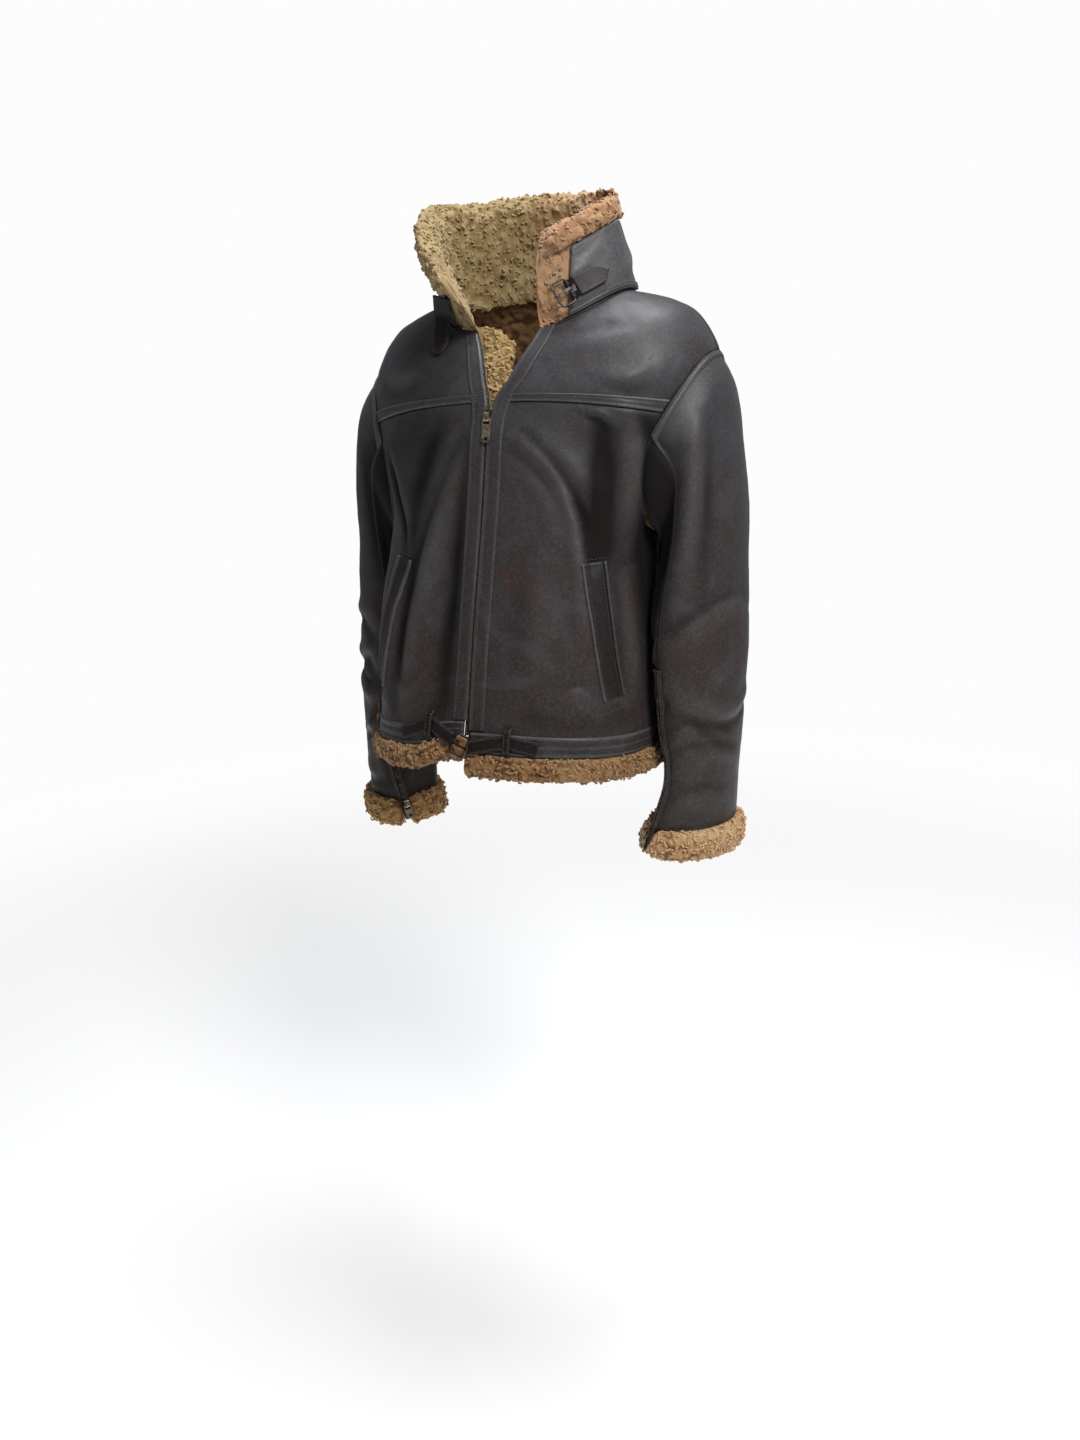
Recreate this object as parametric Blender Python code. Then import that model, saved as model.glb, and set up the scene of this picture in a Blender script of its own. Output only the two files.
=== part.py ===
"""A sheepskin flying jacket, hollow, in the form it has when worn.

Units are metres. +Z is up, the front faces -Y and +X is the wearer's left side. The origin is where
the shoulders carry the jacket: on its middle plane, level with the neck seam at the shoulders.

Every panel of the body is cut from one surface, cape(height, turn). Height runs from 0 at the hem to 1
at the neck seam. Turn is the angle round the wearer: 0 at the front, +90 degrees at the left side.
"""

import math

import bmesh
import bpy
import numpy as np
from mathutils import Matrix, Vector
from mathutils.bvhtree import BVHTree

# ---------------------------------------------------------------- driving sizes
SKIN = 0.008  # leather with the clipped wool on its inside
SEAM = 0.0003  # clearance between neighbouring pieces
TAPE = 0.0016  # thickness of a tape, strip or strap
ZIP_HALF = 0.0042  # from the zip's middle to a front's edge
ZIP_TEETH = 0.0030  # width of one row of teeth
ZIP_STRIP_WIDTH = 0.019
COLLAR_LEATHER = 0.003
COLLAR_END_ROLL = 0.038  # how far the wool reaches past the leather's front ends

ARMPIT, SHOULDER_TIP = 0.34, 0.72  # heights of the armhole's lowest and highest points
ARMHOLE_STEPS = 10
ARMHOLE_FRONT, ARMHOLE_BACK = math.radians(36), math.radians(32)
V_FOOT = 0.545  # height of the zip's slider
SLEEVE_SPRING = 0.030  # how far a sleeve stands off the armhole's foot before it turns down
SLEEVE_CLEAR = 0.0070  # between a sleeve and the body beside it
SLEEVE_KEEP = 0.6  # share of a sleeve's thickness that stays where the body presses on it
VENT = math.pi / 2  # the cuffs' zips are on the sleeves' front seams
VENT_CLEAR, VENT_CLEAR_TOP, VENT_SPREAD = 0.0140, 0.45, 0.50
HALF_SEAM_HEIGHT, HALF_SEAM_ANGLE = 0.0004, 0.003
HEM_BAND_LEVEL, YOKE_TAPE_LEVEL = 0.033, 0.030  # the hem band's and the yoke tape's widths, as cape heights
WOOL_END_BULGE = 0.002
NECK_GAP = 0.047  # half the opening between the collar's ends


def armhole_level(step):
    """The armhole's heights are spaced so that its rows are even round the curve."""
    return ARMPIT + (SHOULDER_TIP - ARMPIT) * (1 - math.cos(math.pi * step / ARMHOLE_STEPS)) / 2


YOKE_STEP = 6
YOKE = armhole_level(YOKE_STEP)

# ---------------------------------------------------------------- the body's sections
RING_COLUMNS = (
    "height", "z_front", "z_side", "z_back", "half_width", "x_mid", "y_front", "y_back", "y_mid", "square",
)
RINGS = (
    # height z_front z_side z_back half_width x_mid y_front y_back y_mid square
    (0.00, -0.570, -0.584, -0.584, 0.208, -0.004, -0.194, 0.150, 0.000, 2.5),  # hem
    (0.10, -0.485, -0.500, -0.500, 0.202, -0.002, -0.179, 0.152, 0.000, 2.6),
    (0.20, -0.397, -0.412, -0.408, 0.195, 0.001, -0.163, 0.154, 0.002, 2.7),  # waist
    (0.28, -0.320, -0.345, -0.330, 0.190, 0.005, -0.149, 0.156, 0.006, 2.7),
    (0.34, -0.265, -0.300, -0.270, 0.192, 0.008, -0.140, 0.158, 0.012, 2.6),  # armpit
    (0.42, -0.212, -0.256, -0.215, 0.208, 0.011, -0.133, 0.160, 0.020, 2.4),
    (0.50, -0.170, -0.204, -0.165, 0.228, 0.013, -0.127, 0.160, 0.030, 2.3),
    (0.59, -0.128, -0.158, -0.116, 0.244, 0.017, -0.118, 0.158, 0.038, 2.3),  # yoke seam
    (0.72, -0.102, -0.075, -0.066, 0.243, 0.021, -0.108, 0.154, 0.042, 2.2),  # tip of the shoulder
    (0.82, -0.080, -0.028, -0.029, 0.214, 0.023, -0.097, 0.148, 0.038, 2.1),
    (0.91, -0.064, -0.007, -0.006, 0.174, 0.023, -0.085, 0.139, 0.032, 2.0),
    (1.00, -0.050, 0.004, 0.014, 0.134, 0.020, -0.072, 0.128, 0.028, 2.0),  # neck seam
)
CORNER_LIFT = 0.022  # the strap draws up the right front's lower corner
CORNER_TURN, CORNER_HEIGHT = math.radians(13), 0.16

# ---------------------------------------------------------------- the sleeves' sections, below the armhole
SLEEVE_COLUMNS = (
    "along", "x_left", "x_right", "y_left", "y_right", "z_left", "z_right",
    "half_broad", "half_thin", "turn_in", "rise",
)
SLEEVES = (
    # along x_left x_right y_left y_right z_left z_right half_broad half_thin turn_in rise
    (0.13, 0.247, -0.226, 0.030, 0.048, -0.240, -0.245, 0.092, 0.043, 4, 0.105),
    (0.26, 0.250, -0.236, 0.024, 0.052, -0.308, -0.315, 0.088, 0.052, 10, 0.070),
    (0.40, 0.248, -0.243, 0.016, 0.054, -0.381, -0.392, 0.084, 0.058, 18, 0.038),
    (0.55, 0.247, -0.249, 0.009, 0.053, -0.463, -0.478, 0.081, 0.060, 25, 0.014),
    (0.70, 0.244, -0.253, 0.004, 0.049, -0.545, -0.564, 0.078, 0.059, 30, 0.004),
    (0.85, 0.242, -0.254, -0.001, 0.043, -0.622, -0.643, 0.075, 0.056, 32, 0.000),
    (1.00, 0.242, -0.252, -0.004, 0.037, -0.696, -0.718, 0.073, 0.053, 32, 0.000),
)

# ---------------------------------------------------------------- the collar's sections
COLLAR_COLUMNS = ("along", "height", "lean_foot", "lean_top", "wool")
COLLAR = (
    # along runs from -1 at the right end, round the back, to +1 at the left; leans are outwards, in
    # degrees; wool is the share of the wool's full thickness
    (-1.00, 0.066, 40, 64, 1.00),
    (-0.80, 0.080, 18, 26, 1.00),
    (-0.55, 0.092, -2, -4, 0.85),
    (-0.25, 0.095, -2, -6, 0.90),
    (0.10, 0.092, -6, -10, 0.90),
    (0.45, 0.090, -10, -19, 0.62),
    (0.62, 0.089, -10, -20, 0.72),
    (0.80, 0.088, -8, -18, 0.95),
    (1.00, 0.080, -2, -8, 1.00),
)

# Points round the collar's wool, in a plane across it: up from the neck seam, then outwards from the
# leather's inner face. A point's height is a share of the leather's height plus a length.
WOOL_COLUMNS = ("share", "up", "out")
WOOL = (
    (0.00, 0.003, -0.0020),
    (0.11, 0.000, -0.0020),
    (0.35, 0.000, -0.0020),
    (0.60, 0.000, -0.0020),
    (0.80, 0.000, -0.0020),
    (1.00, 0.0018, -0.0020),
    (1.00, 0.0018, 0.0042),
    (1.00, 0.005, 0.0120),
    (1.00, 0.015, 0.0160),
    (1.00, 0.028, 0.0120),
    (1.00, 0.036, 0.0010),
    (1.00, 0.034, -0.0130),
    (1.00, 0.022, -0.0240),
    (1.00, 0.002, -0.0260),
    (0.60, 0.000, -0.0220),
    (0.25, 0.000, -0.0180),
    (0.00, 0.003, -0.0120),
)
WOOL_NOTCH = 6  # this many points lie along the leather's inner face

# ---------------------------------------------------------------- the largest folds
FOLD_COLUMNS = ("turn_a", "height_a", "turn_b", "height_b", "width", "rise")
FOLDS = (
    # angles in degrees, heights on the cape, width and rise in metres
    (8, 0.50, 40, 0.40, 0.024, 0.006),
    (40, 0.40, 46, 0.16, 0.022, 0.006),
    (-10, 0.34, -7, 0.06, 0.020, -0.007),
    (-46, 0.44, -32, 0.24, 0.024, -0.006),
    (-58, 0.34, -44, 0.08, 0.022, 0.006),
    (140, 0.42, 150, 0.08, 0.032, 0.006),
    (-132, 0.44, -148, 0.12, 0.032, 0.006),
)


# ---------------------------------------------------------------- curves and surfaces
def smooth_table(table, names, at):
    """Named columns of a table at stations between its rows, on smooth curves through the rows."""
    table = np.asarray(table, float)
    stations, values = table[:, 0], table[:, 1:]
    slopes = np.gradient(values, stations, axis=0)
    at = np.clip(np.asarray(at, float), stations[0], stations[-1])
    i = np.clip(np.searchsorted(stations, at, side="right") - 1, 0, len(stations) - 2)
    span = (stations[i + 1] - stations[i])[..., None]
    s = (at[..., None] - stations[i][..., None]) / span
    found = (
        values[i] * (2 * s**3 - 3 * s**2 + 1)
        + slopes[i] * span * (s**3 - 2 * s**2 + s)
        + values[i + 1] * (3 * s**2 - 2 * s**3)
        + slopes[i + 1] * span * (s**3 - s**2)
    )
    return {name: found[..., k] for k, name in enumerate(names[1:])}


def signed_power(value, power):
    return np.sign(value) * np.abs(value) ** power


def bare_cape(height, turn):
    """The body's surface with no folds."""
    height, turn = np.broadcast_arrays(np.asarray(height, float), np.asarray(turn, float))
    r = smooth_table(RINGS, RING_COLUMNS, height)
    across, ahead = np.sin(turn), np.cos(turn)
    power = 2 / r["square"]
    reach = np.where(ahead > 0, r["y_mid"] - r["y_front"], r["y_back"] - r["y_mid"])
    end = np.where(ahead > 0, r["z_front"], r["z_back"])
    x = r["x_mid"] + r["half_width"] * signed_power(across, power)
    y = r["y_mid"] - reach * signed_power(ahead, power)
    z = r["z_side"] + (end - r["z_side"]) * ahead**2
    corner = np.where(across < 0, np.exp(-((turn / CORNER_TURN) ** 2)), 0)
    z = z + CORNER_LIFT * corner * np.clip(1 - height / CORNER_HEIGHT, 0, 1) ** 2
    return np.stack([x, y, z], axis=-1)


def unit(vectors):
    return vectors / np.linalg.norm(vectors, axis=-1, keepdims=True)


def cape_normal(height, turn):
    """The outward unit normal of the bare cape."""
    step = 2e-3
    height, turn = np.broadcast_arrays(np.asarray(height, float), np.asarray(turn, float))
    height = np.clip(height, step, 1 - step)
    up = bare_cape(height + step, turn) - bare_cape(height - step, turn)
    round_about = bare_cape(height, turn + step) - bare_cape(height, turn - step)
    return unit(np.cross(round_about, up))


def fold_lift(points):
    """How far the largest folds raise the leather at these points."""
    lift = np.zeros(points.shape[:-1])
    for turn_a, height_a, turn_b, height_b, width, rise in FOLDS:
        a = bare_cape(height_a, math.radians(turn_a))
        b = bare_cape(height_b, math.radians(turn_b))
        share = np.clip(((points - a) @ (b - a)) / ((b - a) @ (b - a)), 0, 1)
        away = np.linalg.norm(points - (a + share[..., None] * (b - a)), axis=-1)
        lift += rise * np.exp(-((away / width) ** 2)) * np.sin(math.pi * (0.15 + 0.7 * share))
    return lift


def cape(height, turn):
    points = bare_cape(height, turn)
    return points + fold_lift(points)[..., None] * cape_normal(height, turn)


# ---------------------------------------------------------------- edges of the panels, as turns
def opening(height):
    """Half the gap between the two fronts, which part above the slider."""
    share = np.clip((height - V_FOOT) / (1 - V_FOOT), 0, 1)
    return ZIP_HALF + (NECK_GAP - ZIP_HALF) * share


def turn_at_x(height, x):
    r = smooth_table(RINGS, RING_COLUMNS, height)
    return np.arcsin(np.clip(x / r["half_width"], 0, 1) ** (r["square"] / 2))


def front_edge(height):
    return float(turn_at_x(height, opening(height)))


def armhole_share(height):
    level = np.clip((height - ARMPIT) / (SHOULDER_TIP - ARMPIT), 0, 1)
    return math.sqrt(max(0.0, 4 * level * (1 - level)))


def side_front(height):
    return math.pi / 2 - ARMHOLE_FRONT * armhole_share(height)


def side_back(height):
    return math.pi / 2 + ARMHOLE_BACK * armhole_share(height)


def armhole(around):
    """(height, turn) round the left armhole: around is 0 at its top, 90 degrees at its front."""
    height = ARMPIT + (SHOULDER_TIP - ARMPIT) * (1 + np.cos(around)) / 2
    width = np.where(np.sin(around) > 0, ARMHOLE_FRONT, ARMHOLE_BACK)
    return height, math.pi / 2 - width * np.sin(around)


# ---------------------------------------------------------------- grids of points with normals
def grid_of(points, normals):
    return {"points": np.asarray(points), "normals": unit(np.asarray(normals))}


def cape_row(height, start, end, places):
    """Points of one height, at places in metres from start; a negative place counts back from the end."""
    fine = np.linspace(start, end, 161)
    walk = bare_cape(height, fine)
    length = np.concatenate([[0], np.cumsum(np.linalg.norm(np.diff(walk, axis=0), axis=1))])
    whole = length[-1]
    asked = np.array([place if place >= 0 else whole + place for place in places(whole)])
    turn = np.interp(np.clip(asked, SEAM / 2, whole - SEAM / 2), length, fine)
    return cape(height, turn), cape_normal(height, turn)


def cape_patch(heights, start, end, places):
    """A grid on the cape: a row for each height, from turn start(height) to turn end(height)."""
    rows = [cape_row(h, start(h), end(h), places) for h in heights]
    return grid_of([r[0] for r in rows], [r[1] for r in rows])


def part_of(grid, rows=slice(None), columns=slice(None)):
    return {key: value[rows, columns] for key, value in grid.items()}


def drawn_in(points, by):
    """The grid with its outer edges moved inwards along the surface."""
    points = points.copy()
    for axis in (0, 1):
        lines = np.swapaxes(points, 0, axis)
        for edge, inner in ((0, 1), (-1, -2)):
            lines[edge] += by * unit(lines[inner] - lines[edge])
    return points


def seam_rows(heights):
    """Heights with their first and last drawn in by half a seam."""
    return [heights[0] + HALF_SEAM_HEIGHT] + list(heights[1:-1]) + [heights[-1] - HALF_SEAM_HEIGHT]


# ---------------------------------------------------------------- making solids
def material(name, colour, roughness, metallic=0.0):
    made = bpy.data.materials.new(name)
    made.use_nodes = True
    shader = made.node_tree.nodes["Principled BSDF"]
    shader.inputs["Base Color"].default_value = (*colour, 1)
    shader.inputs["Roughness"].default_value = roughness
    shader.inputs["Metallic"].default_value = metallic
    return made


def keep(name, bm, finish):
    """Stores a bmesh as a named object of the jacket."""
    bmesh.ops.recalc_face_normals(bm, faces=bm.faces[:])
    mesh = bpy.data.meshes.new(name)
    bm.to_mesh(mesh)
    bm.free()
    mesh.materials.append(finish)
    mesh.shade_smooth()
    mesh.set_sharp_from_angle(angle=math.radians(40))
    made = bpy.data.objects.new(name, mesh)
    JACKET.objects.link(made)
    return made


def wall(name, outer, inner, finish):
    """A closed wall between two grids of points of the same size."""
    rows, columns = outer.shape[:2]
    bm = bmesh.new()
    bmesh.ops.create_grid(bm, x_segments=columns - 1, y_segments=rows - 1, size=1)
    place = bm.verts.layers.int.new("place")
    for i, vert in enumerate(bm.verts):
        vert[place] = i
    made = bmesh.ops.extrude_face_region(bm, geom=bm.faces[:], use_keep_orig=True)
    lifted = {v for v in made["geom"] if isinstance(v, bmesh.types.BMVert)}
    outer, inner = outer.reshape(-1, 3), inner.reshape(-1, 3)
    for vert in bm.verts:
        vert.co = (outer if vert in lifted else inner)[vert[place]]
    bmesh.ops.triangulate(bm, faces=bm.faces[:], quad_method="SHORT_EDGE")
    return keep(name, bm, finish)


def panel(name, grid, finish, thick=SKIN):
    """A panel whose outside is the grid, with its wall going inwards."""
    return wall(name, grid["points"], grid["points"] - thick * grid["normals"], finish)


def applied(name, grid, finish, lift=SEAM, thick=TAPE, inset=SEAM):
    """A strip that lies on a panel: the panel's points, moved out."""
    points, normals = drawn_in(grid["points"], inset), grid["normals"]
    return wall(name, points + (lift + thick) * normals, points + lift * normals, finish)


def loft(name, sections, finish):
    """A closed solid through sections that are loops of the same number of points."""
    bm = bmesh.new()
    loops = [[bm.verts.new(p) for p in section] for section in sections]
    for a, b in zip(loops, loops[1:]):
        for k in range(len(a)):
            following = (k + 1) % len(a)
            bm.faces.new((a[k], a[following], b[following], b[k]))
    bm.faces.new(loops[0])
    bm.faces.new(loops[-1])
    bmesh.ops.triangulate(bm, faces=bm.faces[:], quad_method="SHORT_EDGE")
    return keep(name, bm, finish)


def surface_of(*objects):
    """What a ray finds of these objects."""
    bm = bmesh.new()
    for made in objects:
        bm.from_mesh(made.data)
    tree = BVHTree.FromBMesh(bm)
    bm.free()
    return tree


def laid(tree, points, normals, reach=0.03):
    """The points brought onto what lies under them along their normals."""
    found = []
    for point, normal in zip(points.reshape(-1, 3), normals.reshape(-1, 3)):
        hit = tree.ray_cast(Vector(point + reach * normal), Vector(-normal), 2 * reach)[0]
        found.append(point if hit is None else hit)
    return np.array(found).reshape(points.shape)


def band_along(path, across, half_widths):
    """A grid of three columns: the path's points with one to each side."""
    half = np.asarray(half_widths, float)[:, None]
    return np.stack([path - across * half, path, path + across * half], axis=1)


def laid_strip(name, tree, points, normals, finish, lift=0.0005, thick=TAPE):
    """A strip laid on the faceted surface, whatever that surface's own rows and columns."""
    base = laid(tree, points, normals)
    return wall(name, base + (lift + thick) * normals, base + lift * normals, finish)


def plate(name, outlines, thick, place, axes, finish):
    """A flat plate with holes: outlines lie along the first two axes, and thick is centred on them."""
    curve = bpy.data.curves.new(name, "CURVE")
    curve.dimensions = "2D"
    curve.fill_mode = "BOTH"
    curve.extrude = thick / 2
    for outline in outlines:
        spline = curve.splines.new("POLY")
        spline.points.add(len(outline) - 1)
        for point, (x, y) in zip(spline.points, outline):
            point.co = (x, y, 0, 1)
        spline.use_cyclic_u = True
    return settle(name, curve, place, axes, finish)


def rod_loop(name, outline, radius, place, axes, finish):
    """A closed loop of round rod in the plane of the first two axes."""
    curve = bpy.data.curves.new(name, "CURVE")
    curve.dimensions = "3D"
    curve.bevel_depth = radius
    curve.bevel_resolution = 1
    spline = curve.splines.new("POLY")
    spline.points.add(len(outline) - 1)
    for point, (x, y) in zip(spline.points, outline):
        point.co = (x, y, 0, 1)
    spline.use_cyclic_u = True
    return settle(name, curve, place, axes, finish)


def settle(name, curve, place, axes, finish):
    """A curve made into a welded mesh at its place."""
    sketch = bpy.data.objects.new(name + "_sketch", curve)
    JACKET.objects.link(sketch)
    evaluated = sketch.evaluated_get(bpy.context.evaluated_depsgraph_get())
    bm = bmesh.new()
    shape = bpy.data.meshes.new_from_object(evaluated)
    bm.from_mesh(shape)
    bpy.data.objects.remove(sketch)
    bpy.data.meshes.remove(shape)
    bmesh.ops.remove_doubles(bm, verts=bm.verts[:], dist=1e-6)
    turned = Matrix([list(row) for row in np.asarray(axes)]).to_4x4()
    bmesh.ops.transform(bm, matrix=Matrix.Translation(Vector(place)) @ turned, verts=bm.verts[:])
    return keep(name, bm, finish)


def arc(centre, radius, start, end, steps):
    """Points on an arc, with angles in degrees."""
    angles = [math.radians(start + (end - start) * k / steps) for k in range(steps + 1)]
    return [(centre[0] + radius * math.cos(a), centre[1] + radius * math.sin(a)) for a in angles]


def rounded_box(low_x, low_y, high_x, high_y, radius, steps=2):
    """A rectangle's outline with round corners."""
    return (
        arc((high_x - radius, high_y - radius), radius, 0, 90, steps)
        + arc((low_x + radius, high_y - radius), radius, 90, 180, steps)
        + arc((low_x + radius, low_y + radius), radius, 180, 270, steps)
        + arc((high_x - radius, low_y + radius), radius, 270, 360, steps)
    )


def axes_of(first, third):
    """Three square axes as columns: the third as given, the first as near as it can be."""
    third = unit(np.asarray(third, float))
    second = unit(np.cross(third, first))
    return np.stack([np.cross(second, third), second, third], axis=1)


# ---------------------------------------------------------------- the scene
for old in list(bpy.data.objects):
    bpy.data.objects.remove(old)
JACKET = bpy.data.collections.new("flying_jacket")
bpy.context.scene.collection.children.link(JACKET)

LEATHER = material("leather", (0.045, 0.038, 0.036), 0.55)
BINDING = material("binding_leather", (0.070, 0.068, 0.070), 0.45)
STRAP = material("strap_leather", (0.030, 0.022, 0.020), 0.40)
FLEECE = material("fleece", (0.50, 0.30, 0.13), 0.95)
METAL = material("antique_metal", (0.20, 0.17, 0.13), 0.45, 0.9)

LEFT, RIGHT = 1, -1
HANDS = ((LEFT, "left"), (RIGHT, "right"))

# ---------------------------------------------------------------- fronts, yokes and back
LOWER = [0.0, HEM_BAND_LEVEL, 0.12, 0.20, 0.27] + [armhole_level(k) for k in range(YOKE_STEP + 1)]
UPPER = (
    [YOKE, YOKE + YOKE_TAPE_LEVEL] + [armhole_level(k) for k in range(YOKE_STEP + 1, ARMHOLE_STEPS + 1)]
    + [0.79, 0.86, 0.93, 1.0]
)
FRONT_COLUMNS, BACK_COLUMNS = 9, 17
YOKE_TAPE_SHORT = 0.0025  # the armhole's tape lies across the end of the yoke's


def front_places(whole):
    """Columns of a front: one along the zip's strip, then even ones to the side."""
    return [0.0] + list(np.linspace(ZIP_STRIP_WIDTH, whole, FRONT_COLUMNS))


def back_places(whole):
    return list(np.linspace(0, whole, BACK_COLUMNS))


grids, fronts, yokes = {}, {}, {}
for side, hand in HANDS:
    start, end = (lambda h: side * front_edge(h)), (lambda h: side * side_front(h))
    grids["front", side] = cape_patch(seam_rows(LOWER), start, end, front_places)
    grids["yoke", side] = cape_patch(seam_rows(UPPER), start, end, front_places)
    fronts[side] = panel(f"front_{hand}", grids["front", side], LEATHER)
    yokes[side] = panel(f"yoke_{hand}", grids["yoke", side], LEATHER)
    tape = part_of(grids["yoke", side], slice(0, 2), slice(1, None))
    ends = tape["points"][:, -1] + YOKE_TAPE_SHORT * unit(tape["points"][:, -2] - tape["points"][:, -1])
    tape["points"] = np.concatenate([tape["points"][:, :-1], ends[:, None]], axis=1)
    applied(f"yoke_tape_{hand}", tape, BINDING)
    strip = {
        key: np.concatenate([grids["front", side][key][1:, :2], grids["yoke", side][key][:, :2]])
        for key in ("points", "normals")
    }
    applied(f"zip_strip_{hand}", strip, BINDING)

back_rows = seam_rows(LOWER[:-1] + UPPER[:1] + UPPER[2:])
back_grid = cape_patch(back_rows, side_back, lambda h: 2 * math.pi - side_back(h), back_places)
back = panel("back", back_grid, LEATHER)

body_tree = surface_of(*fronts.values(), *yokes.values(), back)

# ---------------------------------------------------------------- hem band and fleece
back_hem = part_of(back_grid, slice(0, 2))
beside_sleeves = [*fronts.values(), *yokes.values(), back, applied("hem_band_back", back_hem, BINDING)]
HEM_WOOL_COLUMNS = ("down", "out")
HEM_WOOL = (
    (0.0004, -0.0080),
    (0.0004, 0.0010),
    (0.0030, 0.0055),
    (0.0120, 0.0080),
    (0.0240, 0.0070),
    (0.0300, 0.0010),
    (0.0300, -0.0070),
    (0.0230, -0.0140),
    (0.0100, -0.0160),
    (0.0020, -0.0130),
)
for side, hand in HANDS:
    beside_sleeves.append(applied(f"hem_band_{hand}", part_of(grids["front", side], slice(0, 2)), BINDING))


def hem_fleece(name, grid):
    """A roll of fleece under a panel's lowest row."""
    edge, above, out = grid["points"][0], grid["points"][1], grid["normals"][0]
    edge = drawn_in(np.stack([edge, above]), SEAM)[0]
    down = unit(grid["points"][0] - above)
    return loft(name, [[e + a * d + b * n for a, b in HEM_WOOL] for e, d, n in zip(edge, down, out)], FLEECE)


beside_sleeves.append(hem_fleece("hem_fleece_back", back_grid))
for side, hand in HANDS:
    beside_sleeves.append(hem_fleece(f"hem_fleece_{hand}", grids["front", side]))
beside_tree = surface_of(*beside_sleeves)


# ---------------------------------------------------------------- sleeves
FAR_BESIDE = 0.6
# Below the hem's fleece the sleeves swing in again.
BESIDE_FLOOR, BESIDE_FALL_START, BESIDE_FALL = -0.605, -0.632, 0.3


def sleeve_ring(along, around, side):
    """Points of a sleeve at a share of its length, below the armhole."""
    r = smooth_table(SLEEVES, SLEEVE_COLUMNS, along)
    turn_in = np.radians(r["turn_in"])
    outward, ahead = np.cos(around), np.sin(around)
    broad, thin = r["half_broad"] * ahead, r["half_thin"] * outward
    hand = "left" if side == LEFT else "right"
    x = r["x_" + hand] + side * (thin * np.cos(turn_in) - broad * np.sin(turn_in))
    y = r["y_" + hand] - broad * np.cos(turn_in) - thin * np.sin(turn_in)
    return np.stack([x, y, r["z_" + hand] + r["rise"] * outward], axis=-1)


def beside_body(points, side, gap):
    """The points moved sideways until they clear the body, its hem band and its hem's fleece."""
    moved = points.reshape(-1, 3).copy()
    for point, space in zip(moved, np.broadcast_to(gap, points.shape[:-1]).ravel()):
        start = Vector((side * FAR_BESIDE, point[1], max(point[2], BESIDE_FLOOR)))
        space -= BESIDE_FALL * max(0.0, BESIDE_FALL_START - point[2])
        hit = beside_tree.ray_cast(start, Vector((-side, 0, 0)), FAR_BESIDE)[0]
        if hit is not None and side * (hit.x - point[0]) > -space:
            point[0] = hit.x + side * space
    return moved.reshape(points.shape)


def bare_sleeve(along, around, side):
    """A sleeve's surface with nothing pressing on it."""
    first, step = SLEEVES[0][0], 0.01
    height, turn = armhole(around)
    head, out = cape(height, side * turn), cape_normal(height, side * turn)
    start = sleeve_ring(np.full_like(along, first), around, side)
    leave = (sleeve_ring(np.full_like(along, first + step), around, side) - start) * first / step
    rise = (start - head) * 0.8 + out * SLEEVE_SPRING * (1 - np.cos(around))[..., None]
    s = np.clip(along / first, 0, 1)[..., None]
    join = (
        head * (2 * s**3 - 3 * s**2 + 1)
        + rise * (s**3 - 2 * s**2 + s)
        + start * (3 * s**2 - 2 * s**3)
        + leave * (s**3 - s**2)
    )
    below = sleeve_ring(np.maximum(along, first), around, side)
    return np.where((along < first)[..., None], join, below)


def sleeve_surface(along, around, side):
    """A sleeve's surface from the armhole (0) to the cuff (1); around is 0 outside and 90 degrees in front.

    Its inner side keeps clear of the body, and its outer side keeps a share of the sleeve's thickness
    from the inner side.
    """
    along, around = np.broadcast_arrays(np.asarray(along, float), np.asarray(around, float))
    own, opposite = bare_sleeve(along, around, side), bare_sleeve(along, math.pi - around, side)
    within = (np.cos(around) < 0)[..., None]
    inner, outer = np.where(within, own, opposite), np.where(within, opposite, own)
    by_vent = np.exp(-(((around - VENT) / VENT_SPREAD) ** 2)) * np.clip((along - VENT_CLEAR_TOP) / 0.1, 0, 1)
    gap = SLEEVE_CLEAR * np.clip(along / SLEEVES[0][0], 0, 1) + VENT_CLEAR * by_vent
    pressed = side * beside_body(inner, side, gap)[..., 0]
    thick = SLEEVE_KEEP * side * (outer - inner)[..., 0]
    own[..., 0] = side * np.where(within[..., 0], pressed, np.maximum(side * outer[..., 0], pressed + thick))
    return own


def sleeve_normal(along, around, side):
    step = 2e-3
    along, around = np.broadcast_arrays(np.asarray(along, float), np.asarray(around, float))
    inner = np.clip(along, step, 1 - step)
    down = sleeve_surface(inner + step, around, side) - sleeve_surface(inner - step, around, side)
    round_about = sleeve_surface(inner, around + step, side) - sleeve_surface(inner, around - step, side)
    return side * unit(np.cross(round_about, down))


def sleeve_patch(alongs, first, last, side):
    """A piece of a sleeve between two of the body's own rows, drawn in by half a seam at both sides."""
    alongs = np.asarray(alongs, float)[:, None]
    angles = math.pi * np.arange(first, last + 1)[None, :] / ARMHOLE_STEPS
    inset = np.zeros(last - first + 1)
    inset[0], inset[-1] = HALF_SEAM_ANGLE, -HALF_SEAM_ANGLE
    return grid_of(sleeve_surface(alongs, angles + inset, side), sleeve_normal(alongs, angles, side))


QUARTER = ARMHOLE_STEPS // 2
SLEEVE_ROWS = [0.0015, 0.022, 0.06, 0.10, 0.15, 0.22, 0.31, 0.41, 0.52, 0.63, 0.73, 0.81, 0.90, 1.0]
sleeve_trees = {}
for side, hand in HANDS:
    upper = sleeve_patch(SLEEVE_ROWS, -QUARTER, QUARTER, side)
    under = sleeve_patch(SLEEVE_ROWS, QUARTER, 3 * QUARTER, side)
    sleeve_trees[side] = surface_of(
        panel(f"sleeve_upper_{hand}", upper, LEATHER), panel(f"sleeve_under_{hand}", under, LEATHER)
    )
    applied(f"armhole_tape_{hand}", part_of(upper, slice(0, 2)), BINDING)

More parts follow.
